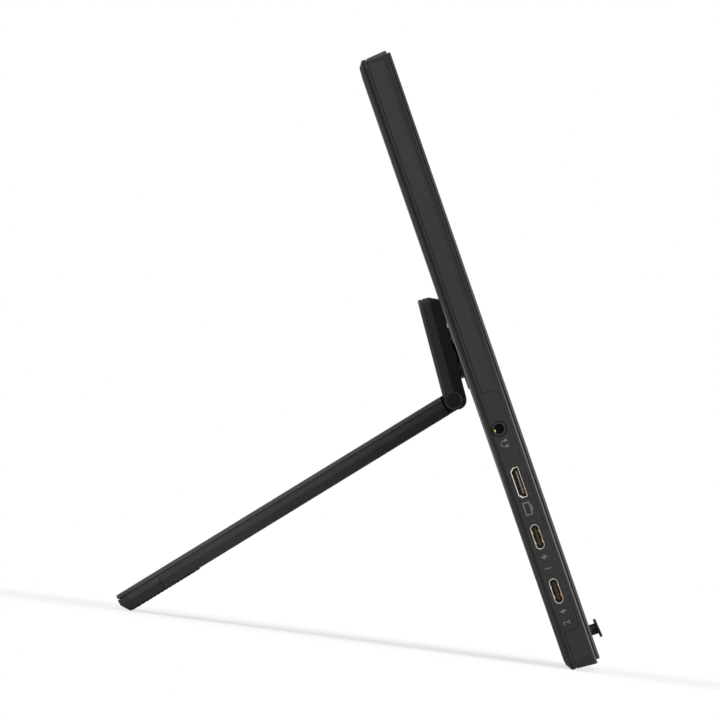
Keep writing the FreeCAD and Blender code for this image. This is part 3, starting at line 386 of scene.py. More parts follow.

# %% [markdown]
# The casing's colour is not one tone all over, and most of what varies is painted light: a paler
# chamfer and top, painted highlights on edges beside the stand and low on the front, and painted
# shade as a dark line near the seam, on the upper front edge and in a band at the top corner.
# These could sit in a texture, but they follow heights and depths on the display, so each is worked
# out from the place.


# %% Shades of the casing
def cover_shades(wire, place, colour):
    """Painted light on the chamfer, a painted highlight beside the stand, a painted shadow line near the
    seam.
    """
    stand_heights = (0.060, 0.070, 0.130, 0.138)
    highlight_width = 0.0004
    highlight_depths = (0.0002, 0.0004)
    chamfer_depths = (0.0008, 0.0011)
    groove_shadow_depths = (0.0009, 0.0014, 0.0020, 0.0026)
    groove_shadow_heights = (0.085, 0.120)
    depth = depth_from_back(wire, place)
    height = height_from_foot(wire, place)
    edge = spread(wire, abs(part_of(wire, place, "X")), back_half - highlight_width, back_half, 0.0, 1.0)
    painted_edge_highlight = band(wire, height, *stand_heights) * edge * spread(wire, depth, *highlight_depths, 1.0, 0.0)
    # Painted highlight along the back edge beside the stand.
    colour = mix_colour(wire, painted_edge_highlight, colour, grey(0.22))
    # Painted light makes the chamfer paler.
    chamfer_light = spread(wire, depth, *chamfer_depths, 0.35, 0.0)
    colour = mix_colour(wire, chamfer_light, colour, grey(0.035))
    # Painted shadow of a groove: a dark line near the seam, stronger higher up.
    strength = spread(wire, height, *groove_shadow_heights, 0.65, 0.95)
    return mix_colour(wire, band(wire, depth, *groove_shadow_depths) * strength, colour, grey(0.001))


def frame_shades(wire, place, colour):
    """Painted light on top, even seam at the flap, painted highlight and shade on the front edge and top
    corner.
    """
    lit_top_heights = (0.06, 0.20)
    seam_widths = (0.0004, 0.0006)
    highlight_depths = (0.0101, 0.0103, 0.0105, 0.0106)
    highlight_heights = (0.085, 0.130)
    front_shade_depths = (0.0088, 0.0096)
    corner_slopes = (0.1, 0.3)
    corner_highlight_heights = (0.2246, 0.2254)
    corner_shade_heights = (0.2230, 0.2238, 0.2244, 0.2250)
    height = height_from_foot(wire, place)
    depth = depth_from_back(wire, place)
    # Painted light: the upper part of the side is paler.
    colour = mix_colour(wire, spread(wire, height, *lit_top_heights, 0.0, 0.3), colour, grey(0.030))
    seam = spread(wire, abs(depth - flap_front), *seam_widths, 1.0, 0.0)
    colour = mix_colour(wire, seam, colour, grey(0.016))
    # Painted highlight on the front edge, strongest at the bottom.
    low = spread(wire, height, *highlight_heights, 1.0, 0.0)
    colour = mix_colour(wire, band(wire, depth, *highlight_depths) * low, colour, grey(0.14, 0.05))
    # Painted shade on the front edge above the highlight.
    front_edge_shade = spread(wire, depth, *front_shade_depths, 0.0, 0.8)
    colour = mix_colour(wire, front_edge_shade * (1 - low), colour, grey(0.003))
    # Painted highlight and painted shade in bands at the rounded top corner.
    corner = faces_sideways(wire, *corner_slopes)
    corner_highlight = spread(wire, height, *corner_highlight_heights, 0.0, 0.8)
    colour = mix_colour(wire, corner * corner_highlight, colour, grey(0.040))
    corner_shade = band(wire, height, *corner_shade_heights, most=0.8)
    return mix_colour(wire, corner * corner_shade, colour, grey(0.004))


def bezel_shades(wire, place, colour):
    """Painted highlight on the cut edge of the bezel, strongest at the bottom."""
    cut_slopes = (0.4, 0.7)
    highlight_heights = (0.130, 0.215)
    low = spread(wire, height_from_foot(wire, place), *highlight_heights, 1.0, 0.0)
    # Painted highlight on the cut edge, fading out towards the top.
    painted_edge_highlight = faces_sideways(wire, *cut_slopes) * low
    return mix_colour(wire, painted_edge_highlight, colour, grey(0.060, 0.05))


mouldings = {
    "frame_plastic": dict(tone=0.018, warmth=0.01, grain=0.0007, depth=0.00004, gloss=0.58,
                          shade=frame_shades),
    "cover_plastic": dict(tone=0.024, warmth=-0.03, gloss=0.42, shine=0.3, shade=cover_shades,
                          mirror=0.2),
    "bezel_plastic": dict(tone=0.018, shade=bezel_shades),
    "leaf_plastic": dict(tone=0.034, grain=0.0005, depth=0.00002, gloss=0.55),
    "stick_black": dict(tone=0.006, grain=0.0003),
    "port_black": dict(tone=0.018, grain=0.0003, gloss=0.42, edge=0.0001),
    "coil_black": dict(tone=0.04, depth=0.00002, gloss=0.60),
    "bush_polymer": dict(tone=0.55, warmth=0.03, gloss=0.45, shine=0.2),
}
for name, looks in mouldings.items():
    moulded(name, **looks)
print("moulded finishes", len(finishes))

# %% [markdown]
# Both leaves of the stand carry a metal face. It is sheet aluminium, brushed across its width and
# dyed dark grey, so it is a touch lighter and silkier than the plastic under it. Brushing is noise
# stretched along one direction until its spots become hairlines.


# %% Brushed and dyed metal of the stand
def brushed_leaf():
    """Dark dyed aluminium with hairlines across the stand."""
    hairline_scale = (25.0, 5200.0, 5200.0)
    hairline_depth = 0.000006
    cloud_size = 0.05
    hairline_share = 0.7
    edge = 0.0003
    edge_highlight_cover = 0.7

    def build(wire):
        place = place_on_panel(wire)
        lines = speckle(wire, stretched(wire, place, hairline_scale), 1.0)
        cloud = speckle(wire, place, cloud_size)
        rounded = softened(wire, edge)
        edge_highlight = edge_share(wire, rounded)
        share = from_noise(wire, blended(lines, cloud, hairline_share), 0.0, 1.0)
        face = mix_colour(wire, share, grey(0.041), grey(0.064))
        # Painted highlight: the colour is lighter along the edges.
        colour = mix_colour(wire, edge_highlight * edge_highlight_cover, face, grey(0.13))
        rough = from_noise(wire, lines, 0.38, 0.50)
        return colour, rough, bumped(wire, lines, hairline_depth, rounded)

    return new_finish("leaf_metal", build, Metallic=0.55)


print("made", brushed_leaf().name)

# %% [markdown]
# The foot of the stand is rubber: dull, a little brown, and never quite clean. Small pale specks
# of dust sit in it. The black tape that holds the bezel is foam, with open cells that swallow
# the light, so it reads as a dark line between two lighter edges.


# %% Rubber and foam
def rubber(name, tone, warmth, cell, dust):
    """Dull elastic surface with fine cells, specks of dust and painted shade on slopes."""
    darker, lighter, dusty, slope_shade_tone = 0.75, 1.25, 3.0, 0.3
    speck_level = 0.72
    cell_depth = 0.00003
    edge = 0.0004
    side_slopes = (0.90, 0.97)
    slope_shade_cover = 0.5

    def build(wire):
        place = place_on_panel(wire)
        cells = speckle(wire, place, cell, 3.0)
        specks = speckle(wire, place, 3 * cell, 0.0) > speck_level
        face = mix_colour(wire, cells, grey(tone * darker, warmth), grey(tone * lighter, warmth))
        colour = mix_colour(wire, specks * dust, face, grey(tone * dusty, warmth))
        # Painted shade on the faces that slope away from the side.
        slope_shade = 1 - faces_sideways(wire, *side_slopes)
        colour = mix_colour(wire, slope_shade * slope_shade_cover, colour, grey(tone * slope_shade_tone, warmth))
        rough = from_noise(wire, cells, 0.72, 0.90)
        return colour, rough, bumped(wire, cells, cell_depth, softened(wire, edge))

    return new_finish(name, build, IOR=1.45)


rubber("foot_rubber", tone=0.034, warmth=0.06, cell=0.0004, dust=0.3)
rubber("gasket_black", tone=0.006, warmth=0.0, cell=0.0005, dust=0.05)
print("with rubber and foam, finishes", len(finishes))

# %% [markdown]
# The sockets have folded metal shells plated with warm nickel, and their contacts are gilt. Both
# are polished, so what shows is mostly the bright room round them, with faint polishing marks.
# Steel pins, washers and screws are turned or stamped, which is duller and cooler.


# %% Bare and plated metal
def plated(name, tones, gloss, edge=0.0002, streak=(300.0, 2500.0, 2500.0), shade=None):
    """Metal with fine streaks, cloudy tone, soft edges and, if given, shades over its colour."""
    cloud_size = 0.004
    streak_share = 0.5
    streak_depth = 0.000002

    def build(wire):
        place = place_on_panel(wire)
        lines = speckle(wire, stretched(wire, place, streak), 1.0)
        cloud = speckle(wire, place, cloud_size)
        colour = mix_colour(wire, blended(lines, cloud, streak_share), *tones)
        if shade:
            colour = shade(wire, place, colour)
        rough = from_noise(wire, lines, gloss - 0.05, gloss + 0.07)
        return colour, rough, bumped(wire, lines, streak_depth, softened(wire, edge))

    return new_finish(name, build, Metallic=1.0)


socket_mouth = extent("video_port_shell", across)[0]
socket_depth = depth_of("video_port_shell")
bright_rim_depth = 0.0002
copper_reach = 0.0012
copper = (0.42, 0.28, 0.19, 1)


def socket_shades(wire, place, colour):
    """Plating that is copper towards the front, with painted shade behind the mouth."""
    depth = depth_from_back(wire, place)
    share = spread(wire, depth, socket_depth, socket_depth + copper_reach, 0.0, 0.6)
    colour = mix_colour(wire, share, colour, copper)
    # Painted shade inside the socket, behind a thin rim at the mouth.
    inside = part_of(wire, place, "X") > socket_mouth + bright_rim_depth
    return mix_colour(wire, inside, colour, grey(0.02, 0.2))


warm_nickel = ((0.54, 0.48, 0.41, 1), (0.80, 0.74, 0.66, 1))
dull_nickel = ((0.36, 0.33, 0.29, 1), (0.60, 0.56, 0.51, 1))
gilt = ((0.62, 0.36, 0.13, 1), (0.90, 0.60, 0.26, 1))
socket_plating = dict(gloss=0.22, edge=0.00012, shade=socket_shades)
metals = {
    "port_metal": dict(tones=warm_nickel, **socket_plating),
    "contact_gilt": dict(tones=gilt, gloss=0.25, edge=0.00005),
    "screw_steel": dict(tones=(grey(0.35), grey(0.52)), gloss=0.35, edge=0.0001),
    "hinge_steel": dict(tones=(grey(0.24), grey(0.40)), gloss=0.38),
    "tray_metal": dict(tones=(grey(0.48), grey(0.64)), gloss=0.40, streak=(40.0, 900.0, 40.0)),
    "shield_metal": dict(tones=(grey(0.45, 0.02), grey(0.60, 0.02)), gloss=0.30),
}
for name, looks in metals.items():
    plated(name, **looks)
print("metal finishes", len(metals), "finishes in all", len(finishes))

# %% [markdown]
# The screen is switched off. Its glass has an anti-glare film: a microscopic unevenness that
# blurs reflections into a haze. A narrow black frame runs round the picture area, which itself
# is a touch bluer and lighter, because the cells under the film scatter some light back.


# %% Screen glass
def dark_screen():
    """Switched-off picture area with a black frame and an anti-glare haze."""
    frame_width = 0.0016
    glass_border = 0.0025
    haze_size, haze_depth = 0.0004, 0.000003
    cloud_size = 0.06
    edge = 0.0002
    cell_tones = ((0.0075, 0.008, 0.010, 1), (0.010, 0.0105, 0.013, 1))
    low, high = extent("lcd_panel", panel_up)
    picture_half = extent("lcd_panel", across)[1] - glass_border - frame_width
    picture_low = low + 2 * glass_border + frame_width
    picture_high = high - glass_border - frame_width

    def build(wire):
        place = place_on_panel(wire)
        x = abs(part_of(wire, place, "X"))
        z = part_of(wire, place, "Z")
        inside = (picture_half - x > 0) * (z - picture_low > 0) * (picture_high - z > 0)
        haze = speckle(wire, place, haze_size)
        cloud = speckle(wire, place, cloud_size)
        colour = mix_colour(wire, inside, grey(0.004), mix_colour(wire, cloud, *cell_tones))
        rough = from_noise(wire, haze, 0.16, 0.26)
        return colour, rough, bumped(wire, haze, haze_depth, softened(wire, edge))

    return new_finish("screen_glass", build, IOR=1.5)


print("made", dark_screen().name)

# %% [markdown]
# Inside the casing are films, boards and flat cables. They show only when the monitor is taken
# apart, but each still has its own look: copper tracks under green lacquer, conductors side by
# side in a cable, milky films and a clear plate that spreads the light.


# %% Boards, cables and films
sheet_edge = 0.0001


def circuit_board():
    """Green lacquer over copper tracks, from a pattern of bricks."""
    lacquer_tones = ((0.012, 0.08, 0.035, 1), (0.02, 0.12, 0.055, 1))
    track_tone = (0.06, 0.22, 0.10, 1)
    track_cover = 0.6
    track_depth = 0.00002
    cloud_size = 0.01

    def build(wire):
        place = place_on_panel(wire)
        quarter_turn = (math.pi / 2, 0, 0)
        upright = wire.node("ShaderNodeMapping", {}, {"Vector": place, "Rotation": quarter_turn})
        sockets = {"Vector": upright, "Scale": 1.0, "Mortar Size": 0.00022, "Brick Width": 0.004,
                   "Row Height": 0.0011}
        tracks = wire.node("ShaderNodeTexBrick", {}, sockets, "Fac")
        cloud = speckle(wire, place, cloud_size)
        lacquer = mix_colour(wire, cloud, *lacquer_tones)
        colour = mix_colour(wire, tracks * track_cover, lacquer, track_tone)
        rough = from_noise(wire, cloud, 0.30, 0.42)
        return colour, rough, bumped(wire, tracks, track_depth, softened(wire, sheet_edge))

    return new_finish("board_green", build)


def flat_cable():
    """Pale film with grey conductors side by side."""
    stripe_depth = 0.00003
    cloud_size = 0.006

    def build(wire):
        place = place_on_panel(wire)
        waves = {"Vector": place, "Scale": 160.0, "Distortion": 0.0}
        stripes = wire.node("ShaderNodeTexWave", {"bands_direction": "Z"}, waves, "Fac")
        cloud = speckle(wire, place, cloud_size)
        colour = mix_colour(wire, stripes, grey(0.30, 0.03), grey(0.55, 0.03))
        rough = from_noise(wire, cloud, 0.35, 0.50)
        return colour, rough, bumped(wire, stripes, stripe_depth, softened(wire, sheet_edge))

    return new_finish("cable_grey", build)


def milky_sheet(name, dark, light, gloss):
    """Thin film or plate with a soft cloudiness and fine specks."""
    cloud_size, cloud_share = 0.02, 0.6
    speck_size, speck_depth = 0.0006, 0.000004
    gloss_swing = 0.05

    def build(wire):
        place = place_on_panel(wire)
        cloud = speckle(wire, place, cloud_size)
        specks = speckle(wire, place, speck_size, 3.0)
        colour = mix_colour(wire, blended(cloud, specks, cloud_share), dark, light)
        rough = from_noise(wire, specks, gloss - gloss_swing, gloss + gloss_swing)
        return colour, rough, bumped(wire, specks, speck_depth, softened(wire, sheet_edge))

    return new_finish(name, build)


circuit_board()
flat_cable()
milky_sheet("film_white", grey(0.76), grey(0.86), gloss=0.45)
milky_sheet("guide_clear", grey(0.72, -0.03), grey(0.84, -0.03), gloss=0.12)
milky_sheet("insulator_black", grey(0.015), grey(0.026), gloss=0.35)
print("finishes for all slots", len(finishes))

# %% [markdown]
# A few pieces share a slot with others but look different on the object. The disc that closes
# the hinge barrel gets a painted highlight, a paler ring near its rim. The shells of the oval
# sockets are duller than the wide one. The tongues inside the sockets are moulded in a lighter
# grey than the black round them, so that the mouth of each socket reads as a rim, a dark gap and
# a pale line.


# %% Finishes of single pieces
def hinge_disc():
    """Dark moulding with a painted highlight ring near its rim, about the hinge's axis."""
    highlight_ring_radius = 0.00288
    highlight_ring_half_width = 0.00028
    ring_polish = 0.1
    grain, grain_depth = 0.0004, 0.00001
    edge = 0.0002

    def build(wire):
        place = wire.node("ShaderNodeTexCoord", {}, {}, "Object")
        arm = vector_maths(wire, "SUBTRACT", place, tuple(barrel))
        square_to_pin = vector_maths(wire, "MULTIPLY", arm, (0, 1, 1))
        radius = vector_maths(wire, "LENGTH", square_to_pin, output="Value")
        highlight_ring = spread(wire, abs(radius - highlight_ring_radius), 0.0, highlight_ring_half_width, 1.0, 0.0)
        spots = speckle(wire, place, grain, 3.0)
        face = mix_colour(wire, spots, grey(0.004), grey(0.007))
        # Painted highlight: a paler ring near the rim of the disc.
        colour = mix_colour(wire, highlight_ring, face, grey(0.085))
        rough = from_noise(wire, spots, 0.45, 0.55) - highlight_ring * ring_polish
        return colour, rough, bumped(wire, spots, grain_depth, softened(wire, edge))

    return new_finish("hinge_disc", build, IOR=1.46, Specular_IOR_Level=0.25)


def thin_lip(wire, place, colour):
    """Leaves only the middle of a tongue pale, like the lip at its front."""
    lip_widths = (0.00012, 0.00022)
    away = abs(depth_from_back(wire, place) - depth_of("video_port_tongue"))
    return mix_colour(wire, spread(wire, away, *lip_widths, 0.0, 1.0), colour, grey(0.012, 0.25))


tongue_looks = dict(warmth=0.06, grain=0.0003, gloss=0.45, edge=0.0001, shine=0.2, shade=thin_lip)
single_finishes = {
    "hinge_end_caps": hinge_disc(),
    "oval_upper_shell": plated("oval_shell", dull_nickel, **socket_plating),
    "video_port_tongue": moulded("tongue_pale", 0.24, **tongue_looks),
    "oval_upper_tongue": moulded("tongue_grey", 0.06, **tongue_looks),
}
single_finishes["oval_lower_tongue"] = single_finishes["oval_upper_tongue"]
single_finishes["oval_lower_shell"] = single_finishes["oval_upper_shell"]


def dress_solids():
    """Gives every solid its slot's finish, or its own."""
    for subpart in frame["record"]["subparts"]:
        name = subpart["node"]
        finish = single_finishes.get(name, finishes[subpart["material_slot"]])
        nodes[name].data.materials.clear()
        nodes[name].data.materials.append(finish)
    return len(frame["record"]["subparts"])


print("solids dressed", dress_solids())

# %% [markdown]
# Contacts repeat at an even pitch, which is work for Geometry Nodes: a line of points, a strip
# on each point, and the same row again on the other face of the tongue. Modelling each strip by
# hand would give the same picture, but a tree with named sizes can be set for any socket.


# %% Rows of contacts
def new_geometry_tree(name, **inputs):
    """Empty geometry tree with named inputs, a place, a turn and a finish, and their wires."""
    tree = bpy.data.node_groups.new(name, "GeometryNodeTree")
    tree.interface.new_socket("Geometry", in_out="OUTPUT", socket_type="NodeSocketGeometry")
    inputs.update(Place="Vector", Turn="Rotation", Finish="Material")
    for label, kind in inputs.items():
        tree.interface.new_socket(label, in_out="INPUT", socket_type="NodeSocket" + kind)
    entry = tree.nodes.new("NodeGroupInput")
    return tree, {label: Wire(tree, entry.outputs[label]) for label in inputs}


def end_geometry_tree(wire, instances, sizes):
    """Realizes the instances, puts them in place and gives them their finish."""
    solid = wire.node("GeometryNodeRealizeInstances", {}, {"Geometry": instances})
    sockets = {"Geometry": solid, "Translation": sizes["Place"], "Rotation": sizes["Turn"]}
    placed = wire.node("GeometryNodeTransform", {}, sockets)
    done = wire.node("GeometryNodeSetMaterial", {}, {"Geometry": placed, "Material": sizes["Finish"]})
    leave = wire.tree.nodes.new("NodeGroupOutput")
    wire.tree.links.new(done.socket, leave.inputs["Geometry"])


def triple(wire, x, y, z):
    """Vector from three values or wires."""
    return wire.node("ShaderNodeCombineXYZ", {}, {"X": x, "Y": y, "Z": z})


def row_of(wire, thing, sizes, aside=0.0):
    """The same thing on each point of a line along Z whose middle is at the origin."""
    start = triple(wire, 0.0, aside, (sizes["Count"] - 1) * sizes["Pitch"] * -0.5)
    step = triple(wire, 0.0, 0.0, sizes["Pitch"])
    sockets = {"Count": sizes["Count"], "Start Location": start, "Offset": step}
    line = wire.node("GeometryNodeMeshLine", {}, sockets, "Mesh")
    return wire.node("GeometryNodeInstanceOnPoints", {}, {"Points": line, "Instance": thing})


def contact_rows_tree():
    """Two facing rows of strips along Z, a spread apart along Y."""
    tree, sizes = new_geometry_tree("contact_rows", Count="Int", Pitch="Float", Length="Float",
                                    Width="Float", Thickness="Float", Spread="Float")
    wire = Wire(tree)
    strip_size = triple(wire, sizes["Length"], sizes["Thickness"], sizes["Width"])
    strip = wire.node("GeometryNodeMeshCube", {}, {"Size": strip_size}, "Mesh")
    rows = wire.node("GeometryNodeJoinGeometry", {}, {})
    join = rows.socket.node
    for side in (-0.5, 0.5):
        row = row_of(wire, strip, sizes, sizes["Spread"] * side)
        tree.links.new(row.socket, join.inputs["Geometry"])
    end_geometry_tree(wire, rows, sizes)
    return tree


def grown(name, tree, values):
    """Runs a geometry tree once with the given sizes and keeps its result as a plain mesh."""
    piece = new_object(name, bpy.data.meshes.new(name))
    modifier = piece.modifiers.new("grown", "NODES")
    modifier.node_group = tree
    for item in tree.interface.items_tree:
        if item.name in values:
            modifier[item.identifier] = values[item.name]
    evaluated = piece.evaluated_get(bpy.context.evaluated_depsgraph_get())
    mesh = bpy.data.meshes.new_from_object(evaluated)
    piece.modifiers.clear()
    piece.data = mesh
    mesh.name = name
    return piece


contact_rows = contact_rows_tree()
contact_thickness = 0.00008
contact_setback = 0.0016
contact_length = 0.0030
socket_contacts = {"video_port": (19, 0.0004, 0.00024), "oval_upper": (12, 0.0005, 0.00028),
                   "oval_lower": (12, 0.0005, 0.00028)}


def middle_of(node):
    """Middle of a solid, measured along the display's directions."""
    axes = (across, panel_up, panel_front)
    return sum((axis * sum(extent(node, axis)) / 2 for axis in axes), Vector())


def facing_rows(name, solid, wall, setback, sizes):
    """Gilt strips on the two faces of a solid, or inside its walls, set back from its mouth."""
    low, high = extent(solid, panel_front)
    place = middle_of(solid)
    place.x = extent(solid, across)[0] + setback + sizes["Length"] / 2
    values = {**sizes, "Spread": high - low - 2 * wall, "Place": place, "Turn": (-lean, 0, 0),
              "Finish": finishes["contact_gilt"]}
    return grown(name, contact_rows, values)


def add_contacts(socket, count, pitch, width):
    """Gilt strips on both faces of a socket's tongue."""
    sizes = {"Count": count, "Pitch": pitch, "Length": contact_length, "Width": width,
             "Thickness": contact_thickness}
    piece = facing_rows(socket + "_contacts", socket + "_tongue", 0.0, contact_setback, sizes)
    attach(piece, "display")
    return piece


for socket, (count, pitch, width) in socket_contacts.items():
    print(add_contacts(socket, count, pitch, width).name, "strips", 2 * count)

# %% [markdown]
# The oval sockets grip their plug with sprung tabs, two on each long wall, which also carry the
# ground. They are short wide strips in two facing rows, so the tree of the contacts makes them
# too, with other sizes. Cutting them out of the shell would be closer to the real stamping, but
# only their gilt backs are seen through the mouth.

# %% Ground springs of the oval sockets
springs_per_wall = 2
spring_pitch = 0.0036
spring_length = 0.0012
spring_width = 0.0011
spring_thickness = 0.0004
spring_setback = 0.0020
shell_wall = 0.0003


def add_springs(socket):
    """Sprung tabs on each long wall of an oval shell."""
    sizes = {"Count": springs_per_wall, "Pitch": spring_pitch, "Length": spring_length,
             "Width": spring_width, "Thickness": spring_thickness}
    piece = facing_rows(socket + "_springs", socket + "_shell", shell_wall, spring_setback, sizes)
    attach(piece, "display")
    return piece


for socket in ("oval_upper", "oval_lower"):
    print(add_springs(socket).name, "springs", 2 * springs_per_wall)

# %% [markdown]
# In the mouth of the headphone socket one spring shows: the gilt tip that touches the plug's
# sleeve. It is a bent strip on the real part, but only its rounded end is in sight, so a small
# block with rounded edges is enough. It sits in the wall of the hole on the side of the back.

# %% Spring tip in the headphone socket
tip_size = Vector((0.0006, 0.0006, 0.0011))
tip_round = 0.00018
tip_segments = 3
tip_setback = 0.0003
tip_out = 0.00155
tip_down = 0.00030


def mesh_of(name, shape):
    """Mesh with the form of a bmesh, which is freed."""
    mesh = bpy.data.meshes.new(name)
    shape.to_mesh(mesh)
    shape.free()
    return mesh


def add_spring_tip():
    """Rounded gilt block at the wall of the headphone hole."""
    shape = bmesh.new()
    bmesh.ops.create_cube(shape, size=1.0)
    bmesh.ops.scale(shape, vec=tip_size, verts=shape.verts)
    bmesh.ops.bevel(shape, geom=shape.edges, offset=tip_round, segments=tip_segments,
                    affect="EDGES", profile=0.5)
    place = on_panel(extent("headphone_jack", across)[0] + tip_setback + tip_size.x / 2,
                     height_of("headphone_jack") - tip_down, depth_of("headphone_jack") - tip_out)
    turn = Matrix((across, -panel_front, panel_up)).transposed().to_4x4()
    shape.transform(Matrix.Translation(place) @ turn)
    mesh = mesh_of("jack_spring_tip", shape)
    mesh.materials.append(finishes["contact_gilt"])
    piece = new_object("jack_spring_tip", mesh)
    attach(piece, "display")
    return piece


spring_tip = add_spring_tip()
print(spring_tip.name, "faces", len(spring_tip.data.polygons))

# %% [markdown]
# The underside of the foot has fine ribs, so that it grips the table. They repeat along the pad,
# so a second tree sets a thin rounded bar on each point of a line. The pad's own slope is read
# from its largest face that looks down.


# %% Ribs under the foot
rib_pitch = 0.0016
rib_radius = 0.0005
rib_proud = 0.00012
rib_end_margin = 0.0016
rib_side_margin = 0.0015
rib_sides = 16


def ribs_tree():
    """Round bars along X, set in a row along Z."""
    tree, sizes = new_geometry_tree("foot_ribs", Count="Int", Pitch="Float", Radius="Float",
                                    Length="Float", Sides="Int")
    wire = Wire(tree)
    sockets = {"Vertices": sizes["Sides"], "Radius": sizes["Radius"], "Depth": sizes["Length"]}
    bar = wire.node("GeometryNodeMeshCylinder", {}, sockets, "Mesh")
    lying = wire.node("GeometryNodeTransform", {}, {"Geometry": bar, "Rotation": (0, math.pi / 2, 0)})
    end_geometry_tree(wire, row_of(wire, lying, sizes), sizes)
    return tree


def add_foot_ribs():
    """Ribs on the face of the pad that meets the table."""
    faces = [face for face in nodes["foot_pad"].data.polygons if face.normal.z < 0]
    down = max(faces, key=lambda face: face.area).normal.copy()
    along = across.cross(down).normalized()
    low, high = extent("foot_pad", along)
    count = int((high - low - 2 * rib_end_margin) / rib_pitch)
    place = along * (low + high) / 2
    place += down * (extent("foot_pad", down)[1] + rib_proud - rib_radius)
    length = 2 * (extent("foot_pad", across)[1] - rib_side_margin)
    turn = (math.atan2(-along.y, along.z), 0, 0)
    values = {"Count": count, "Pitch": rib_pitch, "Radius": rib_radius, "Length": length,
              "Sides": rib_sides, "Place": place, "Turn": turn, "Finish": finishes["foot_rubber"]}
    piece = grown("foot_ribs", ribs_tree(), values)
    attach(piece, "long_leaf")
    return count


print("foot ribs", add_foot_ribs())

# %% [markdown]
# Beside each socket is a small printed mark. A texture could hold the marks, but a thin mesh
# stays sharp when someone looks closely, so each mark is a piece. The ink is warm grey and a
# little uneven, because it was pressed on by a soft pad.


# %% Ink
def printed_ink():
    """Warm grey ink, thinner in places."""
    thin_size, thin_share, thin_depth = 0.0005, 0.7, 0.000004
    cloud_size = 0.004

    def build(wire):
        place = place_on_panel(wire)
        thin = speckle(wire, place, thin_size, 3.0)
        cloud = speckle(wire, place, cloud_size)
        share = blended(thin, cloud, thin_share)
        colour = mix_colour(wire, share, grey(0.08, 0.08), grey(0.19, 0.08))
        rough = from_noise(wire, thin, 0.55, 0.70)
        return colour, rough, bumped(wire, thin, thin_depth, flat_normal(wire))

    return new_finish("printed_ink", build)


ink = printed_ink()
print("made", ink.name)

# %% [markdown]
# The marks are a headphone, a screen, and for the two oval sockets a spark and a number. They
# could be traced from a picture, but plain shapes are clearer as strokes through a few points
# and as filled patches. The numbers are text, turned into a flat mesh.

# %% Drawn marks
stroke_width = 0.00036
mark_size = 0.0030
sharpest_corner = 0.5


def stroke(shape, points, closed=False, width=stroke_width):
    """Adds a flat line of even width through points to a bmesh."""
    count = len(points)
    rails = []
    for index, point in enumerate(points):
        before = points[index - 1] if index or closed else point
        after = points[(index + 1) % count] if index < count - 1 or closed else point
        enter = (point - before).normalized() if point != before else (after - point).normalized()
        leave = (after - point).normalized() if after != point else enter
        way = (enter + leave).normalized()
        half = width / 2 / max(way.dot(enter), sharpest_corner)
        aside = Vector((-way.y, way.x)) * half
        rails.append([shape.verts.new((*(point + aside), 0)), shape.verts.new((*(point - aside), 0))])
    for index in range(count if closed else count - 1):
        left, right = rails[index], rails[(index + 1) % count]
        shape.faces.new((left[0], left[1], right[1], right[0]))


def arc(radius, start, end, steps):
    """Points on an arc about the origin, angles in degrees."""
    angles = [math.radians(start + (end - start) * step / steps) for step in range(steps + 1)]
    return [Vector((radius * math.cos(angle), radius * math.sin(angle))) for angle in angles]


def patch(shape, corners):
    """Adds one filled face."""
    shape.faces.new([shape.verts.new((*corner, 0)) for corner in corners])


def box_corners(middle, half):
    """Corners of an upright box, one after the other."""
    signs = ((-1, -1), (1, -1), (1, 1), (-1, 1))
    return [middle + Vector((x * half.x, y * half.y)) for x, y in signs]


def headphone_mark(shape):
    """Band over two cups."""
    radius = 0.36 * mark_size
    stroke(shape, arc(radius, -20, 200, 24), width=0.7 * stroke_width)
    cup = Vector((0.14, 0.20)) * mark_size
    for side in (-1, 1):
        middle = Vector((side * radius * 0.94, -0.26 * mark_size))
        patch(shape, box_corners(middle, cup))


def screen_mark(shape):
    """Outline of a screen on a foot."""
    half = Vector((0.72, 0.36)) * mark_size
    stroke(shape, box_corners(Vector((0, 0)), half), closed=True)
    stem = [Vector((0, -half.y)), Vector((0, -half.y - 0.17 * mark_size))]
    stroke(shape, stem)
    foot = 0.30 * mark_size
    stroke(shape, [stem[1] - Vector((foot, 0)), stem[1] + Vector((foot, 0))])


def spark_mark(shape):
    """Bent spark for power."""
    shares = ((0.10, 0.50), (-0.30, -0.08), (-0.04, -0.08), (-0.10, -0.50), (0.30, 0.08), (0.04, 0.08))
    points = [Vector(share) * mark_size for share in shares]
    patch(shape, (points[0], points[1], points[2], points[5]))
    patch(shape, (points[2], points[3], points[4], points[5]))


def number_mesh(number):
    """Flat mesh of a plain number, centred on the origin."""
    curve = bpy.data.curves.new("number", "FONT")
    curve.body = str(number)
    curve.size = 1.15 * mark_size
    curve.align_x = "CENTER"
    curve.align_y = "CENTER"
    holder = new_object("number", curve)
    mesh = bpy.data.meshes.new_from_object(holder.evaluated_get(bpy.context.evaluated_depsgraph_get()))
    bpy.data.objects.remove(holder)
    return mesh


def drawn(draw):
    """Flat mesh from a drawing function."""
    shape = bmesh.new()
    draw(shape)
    return mesh_of("mark", shape)


print("marks are about", mark_size * 1000, "mm high, in strokes of", stroke_width * 1000, "mm")

# %% [markdown]
# The side of the casing slopes, so a flat mark would sink in at one end and stand off at the
# other. Turning each mark to the slope would do, but dropping every point onto the casing along
# a ray also follows any curve. The mark then gets the thickness of a coat of ink.

# %% Marks on the casing
ink_lift = 0.00001
ink_thickness = 0.00002
side_of_casing = BVHTree.FromPolygons(
    [corner.co for corner in nodes["rear_cover"].data.vertices],
    [tuple(face.vertices) for face in nodes["rear_cover"].data.polygons])


